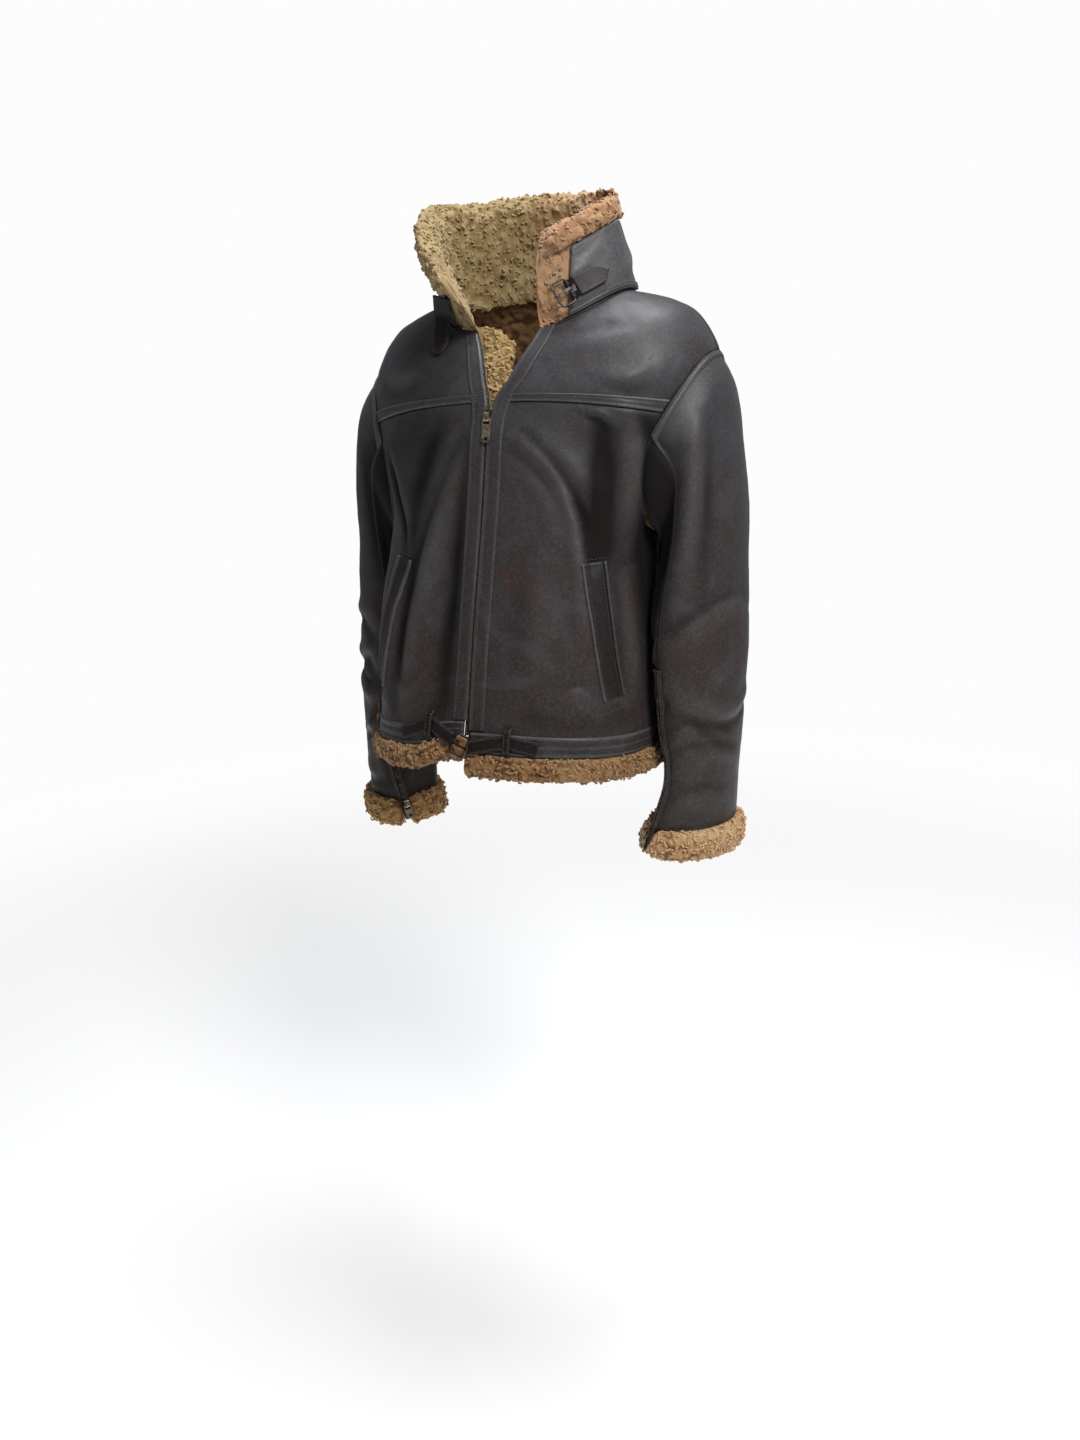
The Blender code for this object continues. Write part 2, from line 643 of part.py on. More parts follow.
# ---------------------------------------------------------------- front zip
TEETH_BACK, TEETH_FRONT = 0.0034, 0.0010  # how far the teeth lie behind the leather's face


def front_frame(height, side):
    """A front's edge, with the ways across the opening and outwards."""
    turn = side * front_edge(height)
    out = cape_normal(height, turn)
    across = np.array([-side, 0.0, 0.0]) - (-side * out[..., 0])[..., None] * out
    return cape(height, turn), unit(across), out


for side, hand in HANDS:
    rows = [front_frame(h, side) for h in seam_rows(LOWER) + seam_rows(UPPER)[1:]]
    edge, across, out = (np.array([row[k] for row in rows]) for k in range(3))
    strip = np.stack([edge + (SEAM * 2) * across, edge + (SEAM * 2 + ZIP_TEETH) * across], axis=1)
    depth = out[:, None]
    wall(f"zip_teeth_{hand}", strip - TEETH_FRONT * depth, strip - TEETH_BACK * depth, METAL)

# Shapes of the slider and pull, in metres: up the zip and outwards from the leather's face.
SLIDER_HALF, SLIDER_WIDTH = 0.0060, 0.0076
SLIDER_BACK, SLIDER_FACE, SLIDER_ARCH = -0.0006, 0.0026, 0.0072
PULL_PIVOT_OUT, PULL_PIVOT_UP = 0.0042, -0.0020
PULL_THICK, PULL_BAR = 0.0013, 0.0016
ZIP_PULL_LENGTH = 0.030


def slider(name, place, up, out):
    """A slider's body with its bridge, as a plate standing across the zip."""
    foot, top = SLIDER_BACK, SLIDER_ARCH
    outline = [
        (-SLIDER_HALF, foot), (SLIDER_HALF, foot), (SLIDER_HALF, SLIDER_FACE),
        (SLIDER_HALF - 0.0006, top - 0.0012), (SLIDER_HALF - 0.0020, top),
        (-SLIDER_HALF + 0.0020, top), (-SLIDER_HALF + 0.0006, top - 0.0012), (-SLIDER_HALF, SLIDER_FACE),
    ]
    hole = [
        (-SLIDER_HALF + 0.0018, SLIDER_FACE + 0.0002), (SLIDER_HALF - 0.0018, SLIDER_FACE + 0.0002),
        (SLIDER_HALF - 0.0018, top - 0.0016), (-SLIDER_HALF + 0.0018, top - 0.0016),
    ]
    side_axis = np.cross(up, out)
    return plate(name, [outline, hole], SLIDER_WIDTH, place, np.stack([up, out, side_axis], axis=1), METAL)


def pull_tab(name, place, up, out, length):
    """A pull that hangs from a slider's bridge: a loop with a long plate below it."""
    half = SLIDER_WIDTH / 2 + 0.0006
    loop = 0.0016
    window_foot = -0.0070
    outline = rounded_box(-half - loop, -length, half + loop, PULL_BAR / 2, 0.0022)
    window = rounded_box(-half, window_foot, half, -PULL_BAR / 2, 0.0004, 1)
    eyelet = rounded_box(-0.0022, -length + 0.0030, 0.0022, -length + 0.0070, 0.0014)
    pivot = place + PULL_PIVOT_OUT * out + PULL_PIVOT_UP * up
    side_axis = np.cross(up, out)
    plate(name, [outline, window, eyelet], PULL_THICK, pivot, np.stack([side_axis, up, out], axis=1), METAL)
    return pivot, -side_axis


pivots = {}
left_edge, _, left_out = front_frame(V_FOOT, LEFT)
right_edge, _, right_out = front_frame(V_FOOT, RIGHT)
zip_out = unit(left_out + right_out)
zip_up = unit(front_frame(V_FOOT + 0.02, LEFT)[0] - front_frame(V_FOOT - 0.04, LEFT)[0])
zip_up = unit(zip_up * np.array([0.0, 1.0, 1.0]) - (zip_up * np.array([0.0, 1.0, 1.0]) @ zip_out) * zip_out)
zip_place = (left_edge + right_edge) / 2
slider("zip_slider", zip_place, zip_up, zip_out)
pivots["zip_pull"] = pull_tab("zip_pull", zip_place, zip_up, zip_out, ZIP_PULL_LENGTH)

# ---------------------------------------------------------------- wind flap behind the right front
FLAP_COLUMNS = ("station", "height", "up", "reach", "drop")
FLAP = (
    # station height up reach drop; reach is how far it shows past the front's edge, and drop how far
    # behind the leather's face it lies
    (0.00, 0.510, 0.000, 0.004, 0.0135),
    (0.12, 0.560, 0.000, 0.008, 0.0145),
    (0.30, 0.640, 0.000, 0.018, 0.0145),
    (0.50, 0.740, 0.000, 0.027, 0.0145),
    (0.70, 0.850, 0.000, 0.036, 0.0145),
    (0.85, 0.930, 0.004, 0.041, 0.0165),
    (0.95, 0.965, 0.010, 0.036, 0.0180),
    (1.00, 0.980, 0.014, 0.020, 0.0185),
)
FLAP_TUCK, FLAP_THICK = 0.012, 0.013
FLAP_ROUND, FLAP_WEDGE = 0.003, 0.004  # how much thinner it is at its tip and where it is tucked in
FLAP_SECTIONS = 15
sections = []
for station in np.linspace(0, 1, FLAP_SECTIONS):
    shape = {key: float(value) for key, value in smooth_table(FLAP, FLAP_COLUMNS, station).items()}
    reach, drop = shape["reach"], shape["drop"]
    edge, across, out = front_frame(shape["height"], RIGHT)
    edge = edge + np.array([0.0, 0.0, shape["up"]])
    behind = drop + FLAP_THICK
    section = (
        (-FLAP_TUCK, drop), (0.0, drop), (reach * 0.7, drop), (reach, drop + FLAP_WEDGE),
        (reach, behind - FLAP_ROUND), (reach * 0.7, behind), (-FLAP_TUCK, behind - FLAP_WEDGE),
    )
    sections.append([edge + a * across - b * out for a, b in section])
loft("wind_flap", sections, FLEECE)

# ---------------------------------------------------------------- collar
neck_start = front_edge(1.0)
# The neck seam from the right end, round the back, to the left end.
neck_fine = np.linspace(-neck_start, neck_start - 2 * math.pi, 721)
neck_line = cape(np.full_like(neck_fine, 1.0), neck_fine)
neck_length = np.concatenate([[0], np.cumsum(np.linalg.norm(np.diff(neck_line, axis=0), axis=1))])


def collar_point(along, share, up, out):
    """A point of the collar: a share of its height plus a length up it, and a length outwards from it."""
    shape = smooth_table(COLLAR, COLLAR_COLUMNS, along)
    s = (np.asarray(along, float) + 1) / 2 * neck_length[-1]
    turn = np.interp(s, neck_length, neck_fine)
    foot = cape(np.full_like(turn, 1.0), turn)
    away = cape_normal(np.full_like(turn, 1.0), turn) * np.array([1.0, 1.0, 0.0])
    away = unit(away)
    rise = np.array([0.0, 0.0, 1.0])
    share = np.broadcast_to(share, s.shape)
    lean = np.radians(shape["lean_foot"] + (shape["lean_top"] - shape["lean_foot"]) * np.clip(share, 0, 1))
    middle = (np.radians(shape["lean_foot"]) + lean) / 2
    chord = (shape["height"] * share)[..., None]
    point = foot + chord * (np.sin(middle)[..., None] * away + np.cos(middle)[..., None] * rise)
    upward = np.sin(lean)[..., None] * away + np.cos(lean)[..., None] * rise
    outward = np.cos(lean)[..., None] * away - np.sin(lean)[..., None] * rise
    return point + np.asarray(up)[..., None] * upward + np.asarray(out)[..., None] * outward


def collar_outward(along, share):
    return unit(collar_point(along, share, 0.0, 0.001) - collar_point(along, share, 0.0, 0.0))


LEATHER_END = 1 - 2 * COLLAR_END_ROLL / neck_length[-1]
collar_alongs = np.linspace(-LEATHER_END, LEATHER_END, 23)
collar_shares = (0.0, 0.11, 0.35, 0.60, 0.80, 1.0)
FOOT_GAP = 0.0010


def collar_grid(alongs, shares, out):
    """Points on the collar, a row for each share of its height."""
    return np.array([
        collar_point(alongs, share, FOOT_GAP if share == 0 else 0.0, out) for share in shares
    ])


outer = collar_grid(collar_alongs, collar_shares, SEAM + COLLAR_LEATHER)
inner = collar_grid(collar_alongs, collar_shares, SEAM)
collar = wall("collar", outer, inner, LEATHER)
tape_out = np.array([collar_outward(collar_alongs, share) for share in collar_shares[:2]])
applied("collar_tape", {"points": outer[:2], "normals": tape_out}, BINDING)

WOOL_MIDDLE, END_SQUEEZE = -0.004, 0.45  # the roll's middle, and how far its ends close in on it
ends = [-1.0, -1.0 + (1 - LEATHER_END) * 0.35, -LEATHER_END - 0.002]
wool_alongs = (
    ends + [collar_alongs[0] * 1.0004] + list(collar_alongs[1:-1]) + [collar_alongs[-1] * 1.0004]
    + [-e for e in reversed(ends)]
)
sections = []
for along in wool_alongs:
    past = abs(along) > LEATHER_END + 0.004
    squeeze = END_SQUEEZE if abs(along) == 1.0 else 1.0
    depth = float(smooth_table(COLLAR, COLLAR_COLUMNS, along)["wool"])
    section = []
    for k, (share, up, out) in enumerate(WOOL):
        if past and k < WOOL_NOTCH:
            out += WOOL_END_BULGE
        if k >= WOOL_NOTCH:
            out *= depth
        section.append(collar_point(np.array(along), share, up, WOOL_MIDDLE + (out - WOOL_MIDDLE) * squeeze))
    sections.append(section)
loft("collar_fleece", sections, FLEECE)

# ---------------------------------------------------------------- pockets
POCKET_COLUMNS = ("side", "turn_top", "height_top", "turn_foot", "height_foot")
POCKETS = (
    # turns in degrees, heights on the cape
    (LEFT, 43.5, 0.285, 56.5, 0.092),
    (RIGHT, 38, 0.285, 50, 0.092),
)
WELT_HALF, WELT_THICK = 0.0130, 0.0014
PIPING_HALF, PIPING_THICK = 0.0020, 0.0034
POCKET_STEPS = 15
POCKET_LIFT = 0.0023


def route_on_cape(turns, heights, side):
    """Points along a straight-looking route on the cape, with normals and the way across."""
    turn = side * np.radians(turns)
    points, out = cape(heights, turn), cape_normal(heights, turn)
    across = unit(np.cross(np.gradient(points, axis=0), out))
    return points, across, out


for side, turn_top, height_top, turn_foot, height_foot in POCKETS:
    hand = dict(HANDS)[side]
    turns = np.linspace(turn_top, turn_foot, POCKET_STEPS)
    points, across, out = route_on_cape(turns, np.linspace(height_top, height_foot, POCKET_STEPS), side)
    for name, offset, half, thick in (
        (f"pocket_welt_{hand}", 0.0, WELT_HALF, WELT_THICK),
        (f"pocket_piping_front_{hand}", side, PIPING_HALF, PIPING_THICK),
        (f"pocket_piping_rear_{hand}", -side, PIPING_HALF, PIPING_THICK),
    ):
        middle = points + offset * (WELT_HALF + PIPING_HALF + SEAM) * across
        grid = band_along(middle, across, np.full(POCKET_STEPS, half))[:, ::1 if half > 0.005 else 2]
        normals = np.repeat(out[:, None], grid.shape[1], axis=1)
        laid_strip(name, body_tree, grid, normals, BINDING, POCKET_LIFT, thick)

# ---------------------------------------------------------------- hem strap with its loops and buckle
STRAP_HALF, STRAP_THICK = 0.0095, 0.0020
STRAP_COLUMNS = ("turn", "height", "lift")
HEM_STRAPS = {
    # turns in degrees, to the wearer's left; heights on the cape; lift off the leather
    "right": (
        (-25, 0.020, 0.0025),
        (-18, 0.027, 0.0030),
        (-11, 0.032, 0.0040),
        (-6, 0.014, 0.0080),
        (-1.6, -0.010, 0.0105),
    ),
    "left": (
        (22, 0.014, 0.0025),
        (17, 0.018, 0.0030),
        (11.5, 0.022, 0.0040),
        (6, 0.018, 0.0070),
        (0.9, 0.010, 0.0100),
    ),
}
STRAP_STEPS = 14


def free_cape(height, turn):
    """The cape carried on below the hem."""
    below = np.clip(-np.asarray(height), 0, None)[..., None]
    edge, above = cape(np.clip(height, 0, 1), turn), cape(np.full_like(turn, 0.02), turn)
    return edge + (cape(np.full_like(turn, 0.0), turn) - above) / 0.02 * below


def strap_along(name, stations, half, thick, finish):
    """A flat strap through stations on the cape, with a square start and end."""
    stations = np.array(stations, float)
    t = np.linspace(0, 1, len(stations))
    table = np.column_stack([t, stations])
    found = smooth_table(table, ("t",) + STRAP_COLUMNS, np.linspace(0, 1, STRAP_STEPS))
    turn = np.radians(found["turn"])
    out = cape_normal(np.clip(found["height"], 0, 1), turn)
    points = free_cape(found["height"], turn) + found["lift"][:, None] * out
    across = unit(np.cross(np.gradient(points, axis=0), out))
    grid = np.stack([points - half * across, points + half * across], axis=1)
    normals = np.repeat(out[:, None], 2, axis=1)
    wall(name, grid + thick * normals, grid, finish)
    return points, across, out


strap_ends = {}
for hand, stations in HEM_STRAPS.items():
    points, across, out = strap_along(f"hem_strap_{hand}", stations, STRAP_HALF, STRAP_THICK, STRAP)
    strap_ends[hand] = (points[-1], out[-1])

LOOP_HALF, LOOP_REACH = 0.0050, 0.0190
LOOPS = {"right": (-11.0, 0.031, 0.0040), "left": (11.5, 0.022, 0.0044)}
for hand, (turn, height, lift) in LOOPS.items():
    turn = np.array([math.radians(turn)])
    middle = cape(np.array([height]), turn)[0]
    out = cape_normal(np.array([height]), turn)[0]
    up = unit(cape(np.array([height + 0.02]), turn)[0] - cape(np.array([height]), turn)[0])
    across = np.cross(up, out)
    crown = lift + STRAP_THICK + 0.0008
    rows = ((-1.0, 0.0028), (-0.72, crown), (0.0, crown + 0.0004), (0.72, crown), (1.0, 0.0028))
    grid = np.array([
        [middle + s * LOOP_HALF * across + share * LOOP_REACH * up + rise * out for s in (-1, 1)]
        for share, rise in rows
    ])
    wall(f"strap_loop_{hand}", grid + TAPE * out, grid, STRAP)

BUCKLE_LONG, BUCKLE_TALL, BUCKLE_ROD, BUCKLE_LIFT = 0.022, 0.027, 0.0015, 0.0032
BUCKLE_CORNER = 0.004
PRONG_HALF, PRONG_FLAT, PRONG_PAST, PRONG_ABOVE = 0.0014, 0.0016, 0.001, 0.0012
(left_end, left_out), (right_end, right_out) = strap_ends["left"], strap_ends["right"]
buckle_out = unit(left_out + right_out)
buckle_axes = axes_of(left_end - right_end, buckle_out)
buckle_place = (left_end + right_end) / 2 + (STRAP_THICK + BUCKLE_ROD + BUCKLE_LIFT) * buckle_out
half_long, half_tall = BUCKLE_LONG / 2, BUCKLE_TALL / 2
outline = rounded_box(-half_long, -half_tall, half_long, half_tall, BUCKLE_CORNER)
rod_loop("hem_buckle_frame", outline, BUCKLE_ROD, buckle_place, buckle_axes, METAL)
prong_end = half_long + PRONG_PAST
prong = rounded_box(-prong_end, -PRONG_HALF, prong_end, PRONG_HALF, 0.0008, 1)
prong_place = buckle_place + (BUCKLE_ROD + PRONG_ABOVE) * buckle_out
plate("hem_buckle_prong", [prong], PRONG_FLAT, prong_place, buckle_axes, METAL)

# ---------------------------------------------------------------- cuffs
CUFF_WOOL_COLUMNS = ("down", "out")
CUFF_WOOL = (
    (0.0009, -0.0080),
    (0.0009, 0.0020),
    (0.0016, 0.0070),
    (0.0100, 0.0110),
    (0.0300, 0.0110),
    (0.0395, 0.0065),
    (0.0420, -0.0030),
    (0.0380, -0.0120),
    (0.0200, -0.0150),
    (0.0040, -0.0130),
)
CUFF_ZIP_ALONG = (0.57, 0.63, 0.68, 0.73, 0.77, 0.81, 0.855, 0.90, 0.95, 0.996)
CUFF_ZIP_HALF, CUFF_ZIP_FLAT, CUFF_ZIP_TAIL = 0.0085, 0.0015, 0.034
CUFF_ZIP_LIFT, CUFF_ZIP_THICK, CUFF_SLIDER_LIFT = 0.0016, 0.0018, 0.0005
CUFF_SLIDER_DOWN, CUFF_PULL_LENGTH = 0.010, 0.022
for side, hand in HANDS:
    arounds = VENT + math.pi / ARMHOLE_STEPS * np.arange(1, 2 * ARMHOLE_STEPS)
    ends = np.ones_like(arounds)
    edge, out = sleeve_surface(ends, arounds, side), sleeve_normal(ends, arounds, side)
    down = unit(edge - sleeve_surface(ends * 0.97, arounds, side))
    sections = [[e + a * d + b * n for a, b in CUFF_WOOL] for e, d, n in zip(edge, down, out)]
    loft(f"cuff_fleece_{hand}", sections, FLEECE)

    alongs = np.array(CUFF_ZIP_ALONG)
    vents = np.full_like(alongs, VENT)
    points, out = sleeve_surface(alongs, vents, side), sleeve_normal(alongs, vents, side)
    way = unit(points[-1] - points[-2])
    across = unit(np.cross(np.gradient(points, axis=0), out))[:, None]
    offsets = np.array([-CUFF_ZIP_HALF, -CUFF_ZIP_FLAT, CUFF_ZIP_FLAT, CUFF_ZIP_HALF])
    grid = points[:, None] + offsets[None, :, None] * across
    normals = np.repeat(out[:, None], len(offsets), axis=1)
    base = laid(sleeve_trees[side], grid, normals)
    tail = base[-1:] + CUFF_ZIP_TAIL * way
    base, normals = np.concatenate([base, tail]), np.concatenate([normals, normals[-1:]])
    face = CUFF_ZIP_LIFT + CUFF_ZIP_THICK
    wall(f"cuff_zip_{hand}", base + face * normals, base + CUFF_ZIP_LIFT * normals, BINDING)
    slider_out = normals[-1, 1]
    lift = face + SEAM - SLIDER_BACK + CUFF_SLIDER_LIFT
    place = base[-2, 1:3].mean(axis=0) + CUFF_SLIDER_DOWN * way + lift * slider_out
    slider(f"cuff_slider_{hand}", place, -way, slider_out)
    pivots[f"cuff_pull_{hand}"] = pull_tab(f"cuff_pull_{hand}", place, -way, slider_out, CUFF_PULL_LENGTH)

# ---------------------------------------------------------------- collar strap, patch and open buckle
PATCH_HALF, PATCH_LENGTH, PATCH_SHARE = 0.0125, 0.046, 0.36
PATCH_LIFT = 0.0011
KEEPER_BORE, KEEPER_RIM, KEEPER_TAIL, KEEPER_WIDTH = 0.00175, 0.00335, 0.0095, 0.0075
KEEPER_AT = 0.0087
FRAME_LONG, FRAME_TALL, FRAME_ROD = 0.019, 0.033, 0.0014
FRAME_TILT = math.radians(24)  # the open buckle rests on the wool at the collar's end
collar_half = neck_length[-1] / 2
bar_along = np.array(LEATHER_END - 0.002 / collar_half)
bar_foot = collar_point(bar_along, PATCH_SHARE, 0.0, SEAM + COLLAR_LEATHER)
collar_out = collar_outward(bar_along, PATCH_SHARE)
bar_back = collar_point(bar_along - 0.05, PATCH_SHARE, 0.0, 0.0)
forward = collar_point(bar_along, PATCH_SHARE, 0.0, 0.0) - bar_back
bar_axes = axes_of(forward, collar_out)
bar = bar_foot + (0.0006 + KEEPER_RIM) * bar_axes[:, 2]

collar_tree = surface_of(collar)
patch_alongs = bar_along - (KEEPER_TAIL + 0.0006 + np.linspace(0, PATCH_LENGTH, 6)) / collar_half
points = collar_point(patch_alongs, PATCH_SHARE, 0.0, SEAM + COLLAR_LEATHER)
out = collar_outward(patch_alongs, PATCH_SHARE)
across = unit(np.cross(np.gradient(points, axis=0), out))
grid = band_along(points, across, np.full(len(points), PATCH_HALF))
laid_strip("collar_patch", collar_tree, grid, np.repeat(out[:, None], 3, axis=1), STRAP, PATCH_LIFT)

# The keepers and the prong turn on the frame's bar, which lies along the second axis.
bar_side = np.stack([bar_axes[:, 0], bar_axes[:, 2], -bar_axes[:, 1]], axis=1)


def eye_with_arm(rim, thick, length):
    """An eye with a flat arm that leaves its foot backwards."""
    meet = 180 + math.degrees(math.asin((rim - thick) / rim))
    return arc((0, 0), rim, -90, meet, 16) + [(-length, thick - rim), (-length, -rim)]


bore = arc((0, 0), KEEPER_BORE, 0, 360, 12)[:-1]
for word, shift in (("upper", KEEPER_AT), ("lower", -KEEPER_AT)):
    outlines = [eye_with_arm(KEEPER_RIM, TAPE, KEEPER_TAIL), bore]
    plate(f"collar_keeper_{word}", outlines, KEEPER_WIDTH, bar + shift * bar_axes[:, 1], bar_side, STRAP)
PRONG_RIM, PRONG_THICK, PRONG_WIDTH = 0.0030, 0.0012, 0.0030
outline = [(-x, -y) for x, y in eye_with_arm(PRONG_RIM, PRONG_THICK, FRAME_LONG + 0.001)]
tilt = np.array(Matrix.Rotation(-FRAME_TILT, 3, Vector(bar_axes[:, 1])))
plate("collar_buckle_prong", [outline, bore], PRONG_WIDTH, bar, tilt @ bar_side, METAL)
pivots["collar_buckle_frame"] = (bar, -bar_axes[:, 1])
pivots["collar_buckle_prong"] = (bar, -bar_axes[:, 1])
rod_loop(
    "collar_buckle_frame", rounded_box(0.0, -FRAME_TALL / 2, FRAME_LONG, FRAME_TALL / 2, 0.0035),
    FRAME_ROD, bar, tilt @ bar_axes, METAL,
)

# The loose strap hangs from the collar's right end over the yoke.
HANGING_ON_COLLAR = (
    # along, share of the collar's height, lift
    (-0.870, 0.55, 0.0085),
    (-0.840, 0.22, 0.0140),
)
HANGING = (
    # turn in degrees, height and lift, as on the hem straps
    (-38.5, 0.955, 0.0125),
    (-33.0, 0.905, 0.0060),
    (-28.5, 0.860, 0.0036),
    (-25.5, 0.835, 0.0034),
)
HANGING_HALF = 0.0125
points = [collar_point(np.array(along), share, 0.0, lift) for along, share, lift in HANGING_ON_COLLAR]
out = [collar_outward(np.array(along), share) for along, share, lift in HANGING_ON_COLLAR]
for turn, height, lift in HANGING:
    normal = cape_normal(height, math.radians(turn))
    points.append(cape(height, math.radians(turn)) + lift * normal)
    out.append(normal)
stations = np.linspace(0, 1, len(points))
steps = np.linspace(0, 1, 13)
names = ("t", "x", "y", "z")
path = smooth_table(np.column_stack([stations, points]), names, steps)
faces = smooth_table(np.column_stack([stations, out]), names, steps)
path = np.stack([path[k] for k in "xyz"], axis=-1)
faces = unit(np.stack([faces[k] for k in "xyz"], axis=-1))
across = unit(np.cross(np.gradient(path, axis=0), faces))
faces = unit(np.cross(across, np.gradient(path, axis=0)))
halves = np.full(len(path), HANGING_HALF)
halves[-3:] = HANGING_HALF * np.array([0.96, 0.80, 0.42])
grid = band_along(path, across, halves)
wall("collar_strap", grid + STRAP_THICK * faces[:, None], grid, STRAP)
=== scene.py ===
"""The looks of a sheepskin flying jacket: hides with their creases, wool, tapes, stitching, zips and straps.

Units are metres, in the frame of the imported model: +Z is up, the front faces -Y and +X is the wearer's
left side. A place on the body is cape(height, turn), a place on a sleeve is (along, around) and a place
on the collar is (along, share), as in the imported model's own source.
"""

import math

import bmesh
import bpy
import numpy as np
from mathutils import Matrix, Vector, noise
from mathutils.bvhtree import BVHTree


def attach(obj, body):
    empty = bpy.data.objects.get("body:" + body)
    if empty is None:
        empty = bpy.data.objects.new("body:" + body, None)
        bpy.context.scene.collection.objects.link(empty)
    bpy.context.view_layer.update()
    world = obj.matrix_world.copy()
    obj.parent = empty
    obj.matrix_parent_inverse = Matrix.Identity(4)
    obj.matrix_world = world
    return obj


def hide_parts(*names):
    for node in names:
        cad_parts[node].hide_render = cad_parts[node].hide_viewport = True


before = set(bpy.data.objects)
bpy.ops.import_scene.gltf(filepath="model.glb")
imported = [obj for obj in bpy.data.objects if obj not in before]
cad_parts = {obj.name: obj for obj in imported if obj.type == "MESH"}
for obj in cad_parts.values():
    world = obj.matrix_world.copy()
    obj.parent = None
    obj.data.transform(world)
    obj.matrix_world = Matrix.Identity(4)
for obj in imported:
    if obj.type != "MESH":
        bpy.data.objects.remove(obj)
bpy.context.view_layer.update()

LEFT, RIGHT = 1, -1
HANDS = ((LEFT, "left"), (RIGHT, "right"))

# ---------------------------------------------------------------- driving sizes
SEAM = 0.0003  # clearance between neighbouring pieces
ZIP_HALF = 0.0042  # from the zip's middle to a front's edge
ZIP_TEETH = 0.0030  # width of one row of teeth
ZIP_STRIP_WIDTH = 0.019
COLLAR_LEATHER = 0.003
COLLAR_END_ROLL = 0.038  # how far the wool reaches past the leather's front ends

ARMPIT, SHOULDER_TIP = 0.34, 0.72  # heights of the armhole's lowest and highest points
ARMHOLE_STEPS = 10
ARMHOLE_FRONT, ARMHOLE_BACK = math.radians(36), math.radians(32)
V_FOOT = 0.545  # height of the zip's slider
SLEEVE_SPRING = 0.030  # how far a sleeve stands off the armhole's foot before it turns down
SLEEVE_CLEAR = 0.0070  # between a sleeve and the body beside it
SLEEVE_KEEP = 0.6  # share of a sleeve's thickness that stays where the body presses on it
VENT = math.pi / 2  # the cuffs' zips are on the sleeves' front seams
VENT_CLEAR, VENT_CLEAR_TOP, VENT_SPREAD = 0.0140, 0.45, 0.50
HALF_SEAM_HEIGHT, HALF_SEAM_ANGLE = 0.0004, 0.003
HEM_BAND_LEVEL, YOKE_TAPE_LEVEL = 0.033, 0.030  # the hem band's and the yoke tape's widths, as cape heights
NECK_GAP = 0.047  # half the opening between the collar's ends


def armhole_level(step):
    """The armhole's heights are spaced so that its rows are even round the curve."""
    return ARMPIT + (SHOULDER_TIP - ARMPIT) * (1 - math.cos(math.pi * step / ARMHOLE_STEPS)) / 2


YOKE_STEP = 6
YOKE = armhole_level(YOKE_STEP)

# ---------------------------------------------------------------- the body's sections
RING_COLUMNS = (
    "height", "z_front", "z_side", "z_back", "half_width", "x_mid", "y_front", "y_back", "y_mid", "square",
)
RINGS = (
    # height z_front z_side z_back half_width x_mid y_front y_back y_mid square
    (0.00, -0.570, -0.584, -0.584, 0.208, -0.004, -0.194, 0.150, 0.000, 2.5),  # hem
    (0.10, -0.485, -0.500, -0.500, 0.202, -0.002, -0.179, 0.152, 0.000, 2.6),
    (0.20, -0.397, -0.412, -0.408, 0.195, 0.001, -0.163, 0.154, 0.002, 2.7),  # waist
    (0.28, -0.320, -0.345, -0.330, 0.190, 0.005, -0.149, 0.156, 0.006, 2.7),
    (0.34, -0.265, -0.300, -0.270, 0.192, 0.008, -0.140, 0.158, 0.012, 2.6),  # armpit
    (0.42, -0.212, -0.256, -0.215, 0.208, 0.011, -0.133, 0.160, 0.020, 2.4),
    (0.50, -0.170, -0.204, -0.165, 0.228, 0.013, -0.127, 0.160, 0.030, 2.3),
    (0.59, -0.128, -0.158, -0.116, 0.244, 0.017, -0.118, 0.158, 0.038, 2.3),  # yoke seam
    (0.72, -0.102, -0.075, -0.066, 0.243, 0.021, -0.108, 0.154, 0.042, 2.2),  # tip of the shoulder
    (0.82, -0.080, -0.028, -0.029, 0.214, 0.023, -0.097, 0.148, 0.038, 2.1),
    (0.91, -0.064, -0.007, -0.006, 0.174, 0.023, -0.085, 0.139, 0.032, 2.0),
    (1.00, -0.050, 0.004, 0.014, 0.134, 0.020, -0.072, 0.128, 0.028, 2.0),  # neck seam
)
CORNER_LIFT = 0.022  # the strap draws up the right front's lower corner
CORNER_TURN, CORNER_HEIGHT = math.radians(13), 0.16

# ---------------------------------------------------------------- the sleeves' sections, below the armhole
SLEEVE_COLUMNS = (
    "along", "x_left", "x_right", "y_left", "y_right", "z_left", "z_right",
    "half_broad", "half_thin", "turn_in", "rise",
)
SLEEVES = (
    # along x_left x_right y_left y_right z_left z_right half_broad half_thin turn_in rise
    (0.13, 0.247, -0.226, 0.030, 0.048, -0.240, -0.245, 0.092, 0.043, 4, 0.105),
    (0.26, 0.250, -0.236, 0.024, 0.052, -0.308, -0.315, 0.088, 0.052, 10, 0.070),
    (0.40, 0.248, -0.243, 0.016, 0.054, -0.381, -0.392, 0.084, 0.058, 18, 0.038),
    (0.55, 0.247, -0.249, 0.009, 0.053, -0.463, -0.478, 0.081, 0.060, 25, 0.014),
    (0.70, 0.244, -0.253, 0.004, 0.049, -0.545, -0.564, 0.078, 0.059, 30, 0.004),
    (0.85, 0.242, -0.254, -0.001, 0.043, -0.622, -0.643, 0.075, 0.056, 32, 0.000),
    (1.00, 0.242, -0.252, -0.004, 0.037, -0.696, -0.718, 0.073, 0.053, 32, 0.000),
)

